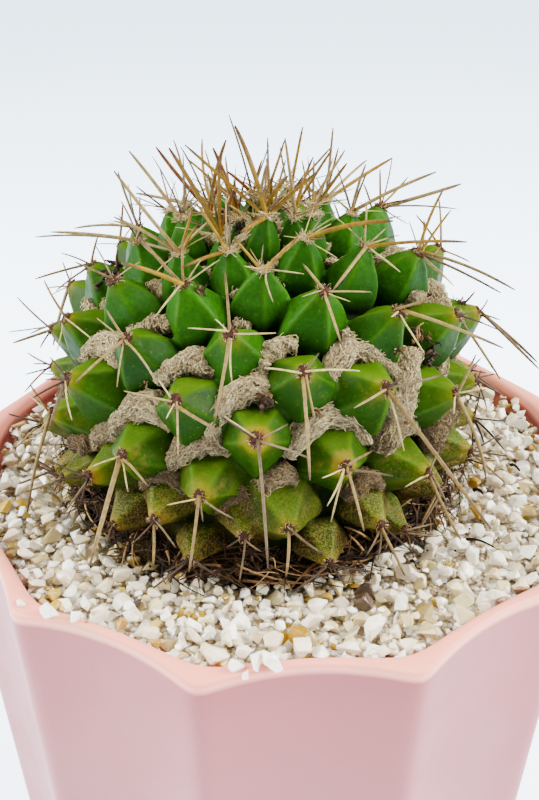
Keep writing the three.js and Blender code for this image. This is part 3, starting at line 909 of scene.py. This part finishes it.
def growWool():
    rng = np.random.default_rng(21)
    steps, sides = wool["steps"], wool["sides"]
    pads, padDirt, strands, radii, strandDirt = [], [], [], [], []
    for place in range(wool["first"], wool["last"] + 1):
        fr = frames[place]
        span = woolSpans.get(place, (rng.uniform(30, 75), rng.uniform(140, 180)))
        thick = np.interp(place, [-24, 3, 10, 20, 30, 46, 56, 70], [0.9, 0.8, 1.1, 2.0, 2.6, 2.6, 1.9, 1.5])
        thick = thick * rng.uniform(0.85, 1.15)
        if span[1] - span[0] < 60:
            thick *= 0.8
        s, phi = np.repeat(np.linspace(0, 1, steps), sides), np.tile(turnSteps(sides), steps)
        pads.append(closeRings(np.split(padPoint(fr, span, thick, s, phi), steps)))
        dirt = float(np.interp(place, [3, 26, 38, 50, 62], [0.0, 0.05, 0.28, 0.75, 1.2]))
        padDirt.append(dirt * 0.4 + 0.6)
        combed = np.interp(place, [18, 34], [0.3, 1.0])
        share = np.interp(span[1] - span[0], [30, 90, 160], [0.25, 0.8, 1.3])
        for _ in range(int(wool["strandsPerPad"] * share)):
            strands.append(woolStrand(fr, span, thick, combed, rng))
            radii.append(wool["strandRadius"] * rng.uniform(0.7, 1.2) * np.array(wool["strandTaper"]))
            stain = rng.normal(-0.2, 0.42) * max(0.15, 1 - 0.8 * dirt)
            strandDirt.append(np.clip(dirt * 0.9 + stain, 0, 1))
    material = woolMaterial()
    makeShapes("woolPads", pads, material, "cactus_skin", "cactus", dirt=padDirt)
    makeTubes("woolFibres", strands, radii, wool["strandSides"], material, dirt=strandDirt)
    print("wool", len(strands), "strands")


growWool()


spineRadii = {"gold": 0.33, "rust": 0.35, "straw": 0.28, "cream": 0.19, "grey": 0.23, "dark": 0.23}
gold, rust, straw, cream, grey, dark = spineRadii
spineColors = {  # at the root, in the middle, at the tip
    gold: ((0.3, 0.185, 0.005), (0.19, 0.105, 0.004), (0.07, 0.027, 0.004)),
    rust: ((0.26, 0.13, 0.005), (0.14, 0.047, 0.004), (0.048, 0.012, 0.003)),
    straw: ((0.17, 0.1, 0.022), (0.19, 0.13, 0.045), (0.075, 0.043, 0.02)),
    cream: ((0.29, 0.21, 0.07), (0.38, 0.31, 0.13), (0.32, 0.26, 0.12)),
    grey: ((0.09, 0.057, 0.03), (0.135, 0.095, 0.052), (0.05, 0.034, 0.022)),
    dark: ((0.02, 0.012, 0.009), (0.05, 0.029, 0.019), (0.012, 0.008, 0.006))}
# pixel of the photo where a spine ends, how many mm nearer it comes than its areole, its kind, its thickness
spineTips = {
    -24: [(213, 148, 6, rust, 1.25), (234, 179, 4, rust), (246, 173, 4, dark), (220, 168, 5, gold, 1.2)],
    -19: [(156, 147, 5, rust, 1.15), (226, 140, 7, gold, 1.2), (196, 190, 4, cream, 0.8),
          (222, 172, 6, rust, 0.9)],
    -18: [(285, 138, 7, straw), (310, 165, 5, gold, 0.9), (321, 206, 4, cream, 0.8)],
    -17: [(229, 115, 7, straw, 0.7), (269, 145, 4, grey, 0.7), (262, 160, 4, gold),
          (228, 172, 6, rust, 1.1)],
    -16: [(169, 148, 8, gold, 1.25), (236, 186, 5, rust, 1.1), (219, 160, 6, gold, 1.1),
          (208, 172, 6, straw, 0.8)],
    -15: [(345, 150, 2, straw, 1.1), (314, 160, 2, gold, 0.9), (308, 156, 3, grey, 0.7),
          (302, 160, 3, straw, 0.8)],
    -13: [(185, 145, 5, gold), (235, 126, 8, gold, 1.25), (242, 143, 7, gold, 1.25), (318, 171, 3, gold),
          (241, 232, 8, gold, 1.2), (252, 168, 5, straw, 0.8)],
    -12: [(280, 147, 3, straw, 0.8), (284, 172, 1, dark, 0.7), (300, 150, 3, cream, 0.7)],
    -11: [(129, 151, 4, straw, 1.2), (152, 156, 5, grey, 0.7), (183, 154, 6, grey, 0.9),
          (172, 189, 2, dark, 0.8), (193, 178, 4, grey, 0.7)],
    -10: [(347, 163, 4, gold), (329, 184, 2, dark, 0.8), (300, 190, 2, cream, 0.8),
          (333, 158, 5, straw, 0.8)],
    -9: [(205, 150, 2, straw, 0.8), (222, 155, 2, gold, 0.8)],
    -8: [(184, 267, 6, gold, 1.3), (226, 197, 5, cream, 0.9), (255, 225, 4, cream, 0.7),
         (196, 203, 5, gold, 0.9)],
    -6: [(136, 186, 1, dark, 0.9), (133, 196, 1, grey, 0.8), (160, 170, 2, straw, 0.8)],
    -5: [(393, 221, 6, gold, 1.1), (335, 217, 2, cream, 0.8), (331, 224, 2, cream, 0.8),
         (337, 258, 2, cream, 0.8), (283, 236, 2, cream, 0.8), (281, 251, 4, straw, 0.9)],
    -3: [(114, 171, 5, straw, 1.1), (114, 217, 4, straw, 1.2), (192, 211, 4, gold),
         (197, 225, 4, gold, 0.9), (155, 274, 2, cream, 0.7)],
    -2: [(366, 164, 3, straw), (367, 172, 3, straw, 0.9), (337, 166, 3, grey, 0.8),
         (343, 183, 2, grey, 0.7), (436, 172, 4, straw, 1.2)],
    0: [(244, 266, 1, cream), (304, 274, 2, cream), (273, 302, 3, cream), (298, 237, 3, gold),
        (234, 238, 2, gold)],
    2: [(51, 232, 1, straw, 1.1), (35, 237, 0, grey), (178, 252, 6, straw), (179, 278, 7, straw),
        (140, 196, 2, dark, 0.9), (128, 184, 3, grey, 0.8), (121, 201, 2, straw, 0.8),
        (118, 215, 1, dark, 0.8)],
    3: [(467, 242, 2, gold), (400, 272, 2, cream), (333, 290, 7, straw), (367, 201, 3, cream),
        (385, 229, 2, cream), (388, 238, 2, cream), (400, 235, 1, grey, 0.7)],
    5: [(123, 263, 7, gold, 1.15), (139, 236, 2, straw), (183, 239, 2, straw), (156, 316, 2, cream),
        (201, 260, 2, cream)],
    6: [(461, 184, 2, straw, 1.2), (457, 209, 2, grey, 0.8), (408, 177, 1, straw),
        (392, 158, 2, grey, 0.8), (380, 169, 2, straw, 0.9), (408, 200, 1, grey, 0.7),
        (408, 224, 2, grey, 0.7)],
    8: [(303, 264, 3, straw), (302, 297, 2, cream), (371, 292, 3, cream), (341, 343, 5, straw)],
    10: [(75, 262, 1, straw, 0.9), (95, 245, 1, grey, 0.8), (140, 262, 2, cream, 0.8)],
    11: [(515, 290, 4, straw), (501, 293, 2, grey), (448, 280, 1, cream), (454, 286, 1, cream),
         (425, 222, 1, straw), (409, 221, 1, grey, 0.8), (444, 188, 3, gold), (451, 210, 2, gold, 0.9)],
    13: [(225, 272, 3, straw), (188, 328, 3, cream), (276, 333, 3, cream), (214, 424, 7, straw),
         (232, 382, 2, cream), (215, 319, 1, cream)],
    15: [(35, 279, 1, straw), (61, 253, 0, grey), (56, 291, 1, grey), (98, 236, 0, straw)],
    16: [(428, 300, 2, straw), (503, 348, 5, straw), (424, 353, 3, cream), (391, 317, 2, cream)],
    18: [(106, 309, 2, straw), (97, 318, 1, cream), (75, 383, 4, straw), (117, 387, 2, cream),
         (158, 386, 3, cream)],
    19: [(416, 215, 1, straw), (439, 199, 2, straw), (470, 262, 2, straw, 0.8), (428, 262, 2, cream, 0.7)],
    21: [(264, 368, 3, cream), (360, 371, 3, cream), (319, 353, 2, grey), (310, 480, 8, straw),
         (316, 423, 3, straw)],
    23: [(30, 334, 2, grey), (44, 280, 0, straw), (57, 351, 3, cream), (92, 339, 3, cream)],
    24: [(473, 338, 2, grey, 0.8), (460, 304, 1, grey, 0.7), (498, 330, 2, dark, 0.8)],
    26: [(124, 391, 3, cream), (158, 379, 2, cream), (219, 431, 4, straw), (178, 455, 2, cream),
         (166, 419, 2, cream)],
    29: [(354, 408, 4, cream, 1.2), (449, 373, 2, grey), (491, 529, 7, straw), (404, 451, 3, cream),
         (403, 378, 1, dark)],
    31: [(50, 357, 1, dark, 1.1), (51, 380, 1, dark), (49, 430, 3, grey, 1.2), (33, 398, 2, dark),
         (72, 420, 2, cream)],
    32: [(539, 369, 4, grey, 1.2), (537, 362, 3, straw), (500, 320, 1, dark), (488, 299, 0, dark)],
    34: [(223, 416, 3, cream), (311, 459, 5, grey), (288, 424, 1, grey), (268, 568, 7, grey),
         (222, 417, 1, dark)],
    36: [(17, 297, 0, grey), (8, 332, 1, grey, 0.7), (13, 343, 2, straw, 1.2), (40, 348, 2, dark, 1.2)],
    39: [(90, 565, 5, straw, 1.2), (89, 468, 2, cream), (128, 492, 2, cream), (148, 486, 3, straw)],
    42: [(322, 478, 3, cream), (372, 451, 1, straw), (393, 476, 3, grey), (327, 506, 3, cream),
         (331, 522, 2, cream), (364, 531, 4, straw)],
    45: [(495, 374, 1, grey), (505, 397, 2, grey), (487, 410, 1, dark), (481, 370, 0, dark)],
    47: [(189, 572, 4, straw), (234, 519, 2, grey), (203, 522, 1, grey), (167, 505, 2, cream)],
    50: [(461, 540, 5, straw), (447, 505, 2, grey), (405, 487, 2, cream), (440, 447, 0, grey)],
    55: [(286, 577, 3, straw), (326, 555, 2, grey), (309, 545, 1, dark)],
    60: [(153, 568, 2, straw), (176, 548, 2, grey), (131, 545, 1, dark)],
    63: [(405, 576, 3, straw), (366, 556, 1, grey), (378, 560, 1, grey), (414, 553, 1, dark)],
    66: [(484, 443, 2, dark, 1.5), (505, 451, 3, dark), (503, 421, 2, dark), (472, 451, 1, dark),
         (480, 392, 0, dark)],
    68: [(239, 583, 2, grey), (262, 552, 1, grey), (226, 548, 1, dark)],
    71: [(421, 523, 2, straw), (413, 538, 2, grey), (452, 462, 1, dark)],
    76: [(292, 592, 3, dark), (345, 586, 2, dark), (372, 572, 2, dark)]}
spines = {"steps": 12, "sides": 8, "clearance": 0.2}


def spineMaterial(kind):
    material, tree, shader = newMaterial(kind + "Spine", 0.5, specular=0.15)
    root, middle, tip = spineColors[kind]
    streak = noiseAt(tree, objectPlace(tree), 1300.0, 3.0, 0.6)
    body = ramp(tree, attribute(tree, "along"), (0.0, root), (0.25, middle), (0.72, middle), (1.0, tip))
    body = varied(tree, body, attribute(tree, "tint"), (0.0, (0.6, 0.54, 0.45)), (1.0, (1.25, 1.24, 1.18)))
    body = varied(tree, body, streak, (0.3, (0.55, 0.5, 0.42)), (0.7, (1.2, 1.2, 1.18)))
    connect(tree, shader, body, bumpFrom(tree, streak, 0.3, 0.0002))
    return material


# spines of the tubercles that the photo doesn't show
def ruleSpines(fr, rng):
    place = fr["place"]
    out, side, top, axis = fr["outward"], fr["sideways"], fr["upper"], fr["axis"]
    made = []

    def add(direction, length, kind, thick=1.0):
        made.append((fr["areole"] + unit(direction) * length, kind, thick))

    if place < -8:
        for _ in range(2):
            lift = axis * 1.2 + out * rng.uniform(-0.2, 0.9) + side * rng.normal(0, 0.45)
            add(lift, rng.uniform(6, 14), rng.choice([gold, gold, straw]), rng.uniform(0.75, 1.1))
        for _ in range(3):
            add(axis * 0.7 + side * rng.normal(0, 0.9) + out * rng.normal(0.2, 0.6), rng.uniform(4, 8),
                rng.choice([cream, grey, straw]), 0.8)
    elif place < 8:
        add(out + skyward * rng.uniform(-0.1, 0.5) + side * rng.normal(0, 0.25), rng.uniform(12, 17),
            rng.choice([gold, straw]), rng.uniform(0.9, 1.3))
        add(axis + skyward * 0.6 + side * rng.normal(0, 0.3), rng.uniform(8, 13), straw)
        for hand in (-1, 1):
            add(side * hand + axis * 0.45 + top * rng.uniform(-0.1, 0.5), rng.uniform(5.5, 8), cream)
        add(-top + axis * 0.6 + side * rng.normal(0, 0.25), rng.uniform(4, 6), cream)
    elif place < 46:
        add(-skyward * 1.25 + out * rng.uniform(0.35, 0.8) + side * rng.normal(0, 0.3), rng.uniform(14, 20),
            rng.choice([straw, straw, grey]), rng.uniform(0.9, 1.2))
        for hand in (-1, 1):
            add(side * hand + axis * 0.4 + top * rng.uniform(-0.2, 0.3), rng.uniform(5.5, 7.5), cream)
        add(top + axis * 0.7 + side * rng.normal(0, 0.3), rng.uniform(5, 9), straw)
        if rng.uniform() < 0.5:
            add(-top + axis * 0.5 + side * rng.normal(0, 0.3), rng.uniform(4, 7), cream)
    else:
        drop, shortest, longest = (-0.9, 6, 12) if place < 62 else (-0.1, 5, 9)
        add(skyward * drop + out + side * rng.normal(0, 0.4), rng.uniform(shortest, longest),
            rng.choice([straw, grey, dark]))
        for _ in range(3):
            add(side * rng.normal(0, 0.9) + axis * 0.6 + skyward * rng.uniform(-0.1, 0.4),
                rng.uniform(3.5, 7), rng.choice([grey, dark, dark]))
    return made


# lifts a spine that would run into the flesh, so that it lies on it
def clearOfFlesh(path):
    for i in range(1, len(path)):
        near, normal, _, _ = fleshTree.find_nearest(Vector(path[i] * mm))
        height = float((Vector(path[i] * mm) - near).dot(normal)) / mm
        if height < spines["clearance"]:
            path[i] += np.array(normal) * min(0.3 - height, 2.5)
    path[2:-1] = 0.25 * path[1:-2] + 0.5 * path[2:-1] + 0.25 * path[3:]
    return path


def growSpines():
    rng = np.random.default_rng(14)
    t = np.linspace(0, 1, spines["steps"])
    taper, flare = 1.05 - 0.24 * t - 0.45 * t ** 10, 1 + 0.3 * np.exp(-t / 0.05)
    bundles = {kind: ([], [], []) for kind in spineRadii}
    for place, fr in frames.items():
        ends = []
        for x, y, nearer, kind, *thick in spineTips.get(place, []):
            ends.append((pixelPoint(x, y, fr["areole"], nearer), kind, thick[0] if thick else 1.0))
        ends = ends or ruleSpines(fr, rng)
        for _ in range(int(np.interp(place, [-10, 12], [6, 0]))):  # young areoles bristle with fine radials
            aside = aroundAxis(fr, rng.uniform(0, fullTurn)) + fr["axis"] * rng.uniform(0.1, 0.9)
            ends.append((fr["areole"] + unit(aside) * rng.uniform(3.5, 8.5),
                         rng.choice([cream, cream, straw, grey]), rng.uniform(0.5, 0.8)))
        for end, kind, thick in ends:
            root = fr["areole"] - fr["axis"] * 0.3 + rng.normal(0, 0.22, 3)
            span = np.linalg.norm(end - root)
            end[2] = max(end[2], rimHeight - 0.5)
            bend = rng.normal(0, 1, 3) * span * 0.03 + fr["axis"] * span * 0.045
            width = spineRadii[kind] * thick * np.interp(span, [4, 9, 16, 24], [0.72, 0.9, 1.1, 1.25])
            paths, radii, tints = bundles[kind]
            radii.append(np.clip(width * rng.uniform(0.88, 1.12) * taper * flare, 0.03, None))
            paths.append(clearOfFlesh(bentPath(root, end, bend, len(t))))
            tints.append(rng.uniform())
    for kind, (paths, radii, tints) in bundles.items():
        piece = makeTubes(kind + "Spines", paths, radii, spines["sides"], spineMaterial(kind), tint=tints)
        addLayer(piece.data, "along", np.tile(np.repeat(t, spines["sides"]), len(paths)))
    print("spines", sum(len(paths) for paths, _, _ in bundles.values()))


growSpines()


felt = {"hairs": 40, "hairLength": 0.95, "hairRadius": 0.06, "hairTaper": [1, 0.9, 0.7, 0.3]}


def feltMaterial():
    material, tree, shader = newMaterial("areoleFelt", 0.95, specular=0.1)
    fuzz = noiseAt(tree, objectPlace(tree), 2200.0, 4.0, 0.7)
    young = ramp(tree, fuzz, (0.3, (0.34, 0.19, 0.05)), (0.7, (0.78, 0.64, 0.36)))
    old = ramp(tree, fuzz, (0.3, (0.01, 0.005, 0.004)), (0.7, (0.075, 0.03, 0.016)))
    felted = mixColor(tree, attribute(tree, "age"), young, old)
    connect(tree, shader, felted, bumpFrom(tree, fuzz, 0.8, 0.0005))
    return material


def growAreoles():
    rng = np.random.default_rng(31)
    bm = bmesh.new()
    bmesh.ops.create_icosphere(bm, subdivisions=3, radius=1.0)
    ball, ballFaces = pointsAndFaces(bm)
    cushions, ages, hairs, radii, hairAges = [], [], [], [], []
    for place, fr in frames.items():
        wide = np.interp(place, [-26, 0, 10, 45, 84], [0.75, 0.9, 1.12, 1.0, 0.8])
        age = np.interp(place, [-11, -2, 5], [0.0, 0.45, 1.0])
        shape = ball * (1 + 0.4 * field(ball * 2.3 + place, 1.0)[:, None])
        local = (np.outer(shape[:, 0] * wide, fr["sideways"])
                 + np.outer(shape[:, 1] * wide * 1.2, fr["upper"])
                 + np.outer(shape[:, 2] * 0.5, fr["axis"]))
        cushions.append((local + fr["areole"] - fr["axis"] * 0.3, ballFaces))
        ages.append(age)
        young = np.interp(place, [-10, -1, 5], [3.4, 2.0, 0.8])
        for _ in range(int(felt["hairs"] * young)):
            around = aroundAxis(fr, rng.uniform(0, fullTurn))
            start = fr["areole"] - fr["axis"] * 0.35 + around * wide * rng.uniform(0.5, 1.0)
            toward = (around * rng.uniform(0.3, 1.2) + fr["axis"] * rng.uniform(0.1, 1.0)
                      + rng.normal(0, 0.3, 3))
            end = start + unit(toward) * felt["hairLength"] * young ** 0.2 * rng.uniform(0.5, 1.3)
            hairs.append(bentPath(start, end, rng.normal(0, 0.42, 3), len(felt["hairTaper"])))
            radii.append(felt["hairRadius"] * np.array(felt["hairTaper"]))
            hairAges.append(np.clip(age - rng.uniform(0.2, 0.95), 0, 1))
    material = feltMaterial()
    makeShapes("areoleCushions", cushions, material, "cactus_skin", "cactus", age=ages)
    makeTubes("areoleHairs", hairs, radii, 3, material, age=hairAges)
    print("areoles", len(frames))


growAreoles()


skirt = {"strands": 1200, "steps": 8, "sides": 5, "crumbs": 1900, "outerCrumbs": 0.06,
         "heap": 3.5, "heapAzimuth": -68, "heapSpread": 28}


def deadMaterial():
    material, tree, shader = newMaterial("deadFibre", 0.9, specular=0.2)
    grain = noiseAt(tree, objectPlace(tree), 1500.0, 4.0, 0.7)
    brown = ramp(tree, attribute(tree, "tint"), (0.0, (0.006, 0.004, 0.003)), (0.55, (0.04, 0.021, 0.011)),
                 (0.82, (0.12, 0.06, 0.023)), (1.0, (0.34, 0.21, 0.09)))
    brown = varied(tree, brown, grain, (0.3, 0.5), (0.7, (1.35, 1.3, 1.2)))
    connect(tree, shader, brown, bumpFrom(tree, grain, 0.6, 0.0004))
    return material


deadFibre = deadMaterial()


# the height of the litter heaped round the neck, over the pot's rim; it lies higher on the left
def litterTop(r, azimuth):
    leftward = (azimuth - skirt["heapAzimuth"] + 180) % 360 - 180
    heap = skirt["heap"] * math.exp(-(leftward / skirt["heapSpread"]) ** 2)
    heap *= np.interp(r, [37, 44], [1.0, 0.0])
    return np.interp(r, [33, 35.5, 38.5, 41, 45], [4.0, 2.4, 0.3, -0.8, -1.2]) + heap


# a point of the litter, some mm over or under its top
def litterPoint(r, azimuth, over):
    return azimuthPoint(r, azimuth, rimHeight + litterTop(r, azimuth) + over) + plantCentre


def growSkirt():
    rng = np.random.default_rng(44)
    paths, radii, tints = [], [], []
    for _ in range(skirt["strands"]):
        azimuth = rng.uniform(0, 360)
        startR = rng.uniform(34, 40)
        endR = np.clip(startR + rng.normal(1.6, 3.2), 34.5, 43.5)
        swing = azimuth + rng.normal(0, 11)
        start = litterPoint(startR, azimuth, rng.uniform(-0.8, 1.6))
        end = litterPoint(endR, swing, rng.uniform(-0.6, 0.9))
        if rng.uniform() < 0.16:
            end[2] += rng.uniform(1, 6)
        span = np.linalg.norm(end - start)
        bend = rng.normal(0, 1, 3) * span * 0.13 + azimuthPoint(span * 0.08, azimuth, span * 0.06)
        paths.append(bentPath(start, end, bend, skirt["steps"]))
        radii.append((0.1 + 0.2 * rng.uniform() ** 1.5) * np.linspace(1, 0.35, skirt["steps"]))
        tints.append(rng.uniform() ** 1.15)
    makeTubes("deadSpineSkirt", paths, radii, skirt["sides"], deadFibre, tint=tints)
    crumbs, crumbTints = [], []
    for i in range(skirt["crumbs"]):
        form, faces = chipForms[rng.integers(len(chipForms))]
        size = rng.uniform(0.35, 1.25)
        r = rng.uniform(33, 39.5) if i > skirt["crumbs"] * skirt["outerCrumbs"] else rng.uniform(40, 53)
        spot = litterPoint(r, rng.uniform(0, 360), -rng.uniform(0.2, 1.6))
        if r > 39.5:
            size *= 0.45
        crumbs.append((form @ randomTurn(rng, 2.0).T * size + spot, faces))
        crumbTints.append(rng.uniform(0, 0.8) ** 1.3)
    makeShapes("darkCrumbs", crumbs, deadFibre, "potting_soil", "gravel", False, tint=crumbTints)
    print("skirt", len(paths), "strands")


growSkirt()


# dead spines fallen on the gravel: where they start and end in the photo, and how thick they are in mm
fallenSpines = [((466, 541), (493, 552), 0.3), ((510, 468), (519, 474), 0.4),
                ((474, 488), (483, 495), 0.4), ((411, 562), (416, 568), 0.3)]


def layFallenSpines():
    rng = np.random.default_rng(61)
    paths, radii = [], []
    t = np.linspace(0, 1, 9)
    for start, end, thick in fallenSpines:
        path = []
        for share in t:
            ray = pixelRay(*(np.array(start) * (1 - share) + np.array(end) * share))
            path.append(eye + ray * (gravel["level"] - eye[2]) / ray[2])
        path = np.array(path)
        columns = ((path[:, :2] + gravel["gridHalf"]) / gravel["cell"]).astype(int)
        ground = gravelTop[columns[:, 1], columns[:, 0]]
        line = ground[0] * (1 - t) + ground[-1] * t
        path[:, 2] = line + max(0.0, (ground - line).max()) * 0.8 + thick * 0.6
        path += np.outer(np.sin(math.pi * t), [0.0, rng.uniform(0.2, 0.8), 0.3])
        paths.append(path)
        radii.append(thick * (1.05 - 0.55 * t))
    makeTubes("fallenSpines", paths, radii, 7, deadFibre, tint=[0.1] * len(paths))


layFallenSpines()


# dried flowers left in the hollows: pixel in the photo, size in mm, how pale they are
driedFlowers = [(266, 400, 3.2, 0.5), (330, 350, 1.5, 0.6), (316, 410, 1.3, 0.7), (430, 350, 1.8, 0.35),
                (419, 338, 2.1, 0.5), (425, 361, 1.9, 0.4), (424, 297, 1.6, 0.65), (113, 276, 3.0, 0.22),
                (200, 291, 1.2, 0.5), (460, 303, 1.4, 0.55), (398, 350, 1.1, 0.6), (146, 383, 1.0, 0.5),
                (231, 221, 1.9, 0.3), (252, 205, 1.3, 0.05), (222, 226, 1.7, 0.2), (240, 228, 1.4, 0.15),
                (221, 217, 2.9, 0.14), (233, 214, 1.8, 0.12)]
# their curled petals and withered tubes
flowerParts = {"count": 26, "sides": 6, "widths": [0.8, 1.0, 1.1, 0.9, 0.6, 0.25]}


def scatterFlowers():
    rng = np.random.default_rng(52)
    paths, radii, tints = [], [], []
    for x, y, size, pale in driedFlowers:
        root = seenPoint(fleshTree, x, y)
        if root is None:
            continue
        outward = unit(eye - root)
        for _ in range(flowerParts["count"]):
            turn = unit(rng.normal(size=3) + outward * 0.6)
            start = root + rng.normal(0, 0.25, 3) * size - outward * 0.3
            end = start + turn * size * rng.uniform(0.5, 1.3)
            paths.append(bentPath(start, end, rng.normal(0, 0.35, 3) * size, len(flowerParts["widths"])))
            radii.append(size * rng.uniform(0.07, 0.17) * np.array(flowerParts["widths"]))
            tints.append(np.clip(pale + rng.normal(0.05, 0.2), 0, 1))
    makeTubes("driedFlowers", paths, radii, flowerParts["sides"], deadFibre, tint=tints)


scatterFlowers()


backdrop = {"halfWidth": 12.0, "floorGlow": 3.9, "worldGlow": 0.5, "seenGlow": 2.7}  # half width in metres
floorMaterial, _, floorShader = newMaterial("paleFloor", 0.9, color=(0.86, 0.91, 1.0))
floorShader.inputs["Emission Color"].default_value = (0.63, 0.83, 1.0, 1)
floorShader.inputs["Emission Strength"].default_value = backdrop["floorGlow"]
floorData = bpy.data.meshes.new("floor")
floorData.from_pydata([(x * backdrop["halfWidth"], y * backdrop["halfWidth"], 0)
                       for x, y in ((-1, -1), (1, -1), (1, 1), (-1, 1))], [], [(0, 1, 2, 3)])
floorData.materials.append(floorMaterial)
floor = bpy.data.objects.new("floor", floorData)
bpy.context.scene.collection.objects.link(floor)

world = bpy.data.worlds.new("studio")
bpy.context.scene.world = world
world.use_nodes = True
worldTree = world.node_tree
sky = worldTree.nodes["Background"]
sky.inputs["Color"].default_value = (0.95, 0.97, 1.0, 1)
# the backdrop looks pale but lights only softly
rayKind = worldTree.nodes.new("ShaderNodeLightPath").outputs["Is Camera Ray"]
glow = mathNode(worldTree, "ADD", times(worldTree, rayKind, backdrop["seenGlow"]), backdrop["worldGlow"])
worldTree.links.new(glow, sky.inputs["Strength"])

# watts, width in metres, place in metres; all aim at the plant
lamps = {"rightLight": (31.0, 0.45, (0.72, -0.1, 0.62)), "leftLight": (27.0, 0.5, (-0.74, 0.02, 0.55)),
         "topLight": (9.0, 0.4, (0.1, 0.05, 1.0))}
lampTarget = Vector((0, 0, 0.12))
for name, (power, width, place) in lamps.items():
    data = bpy.data.lights.new(name, "AREA")
    data.energy = power
    data.size = width
    light = bpy.data.objects.new(name, data)
    light.location = place
    light.rotation_euler = (lampTarget - Vector(place)).to_track_quat("-Z", "Y").to_euler()
    bpy.context.scene.collection.objects.link(light)
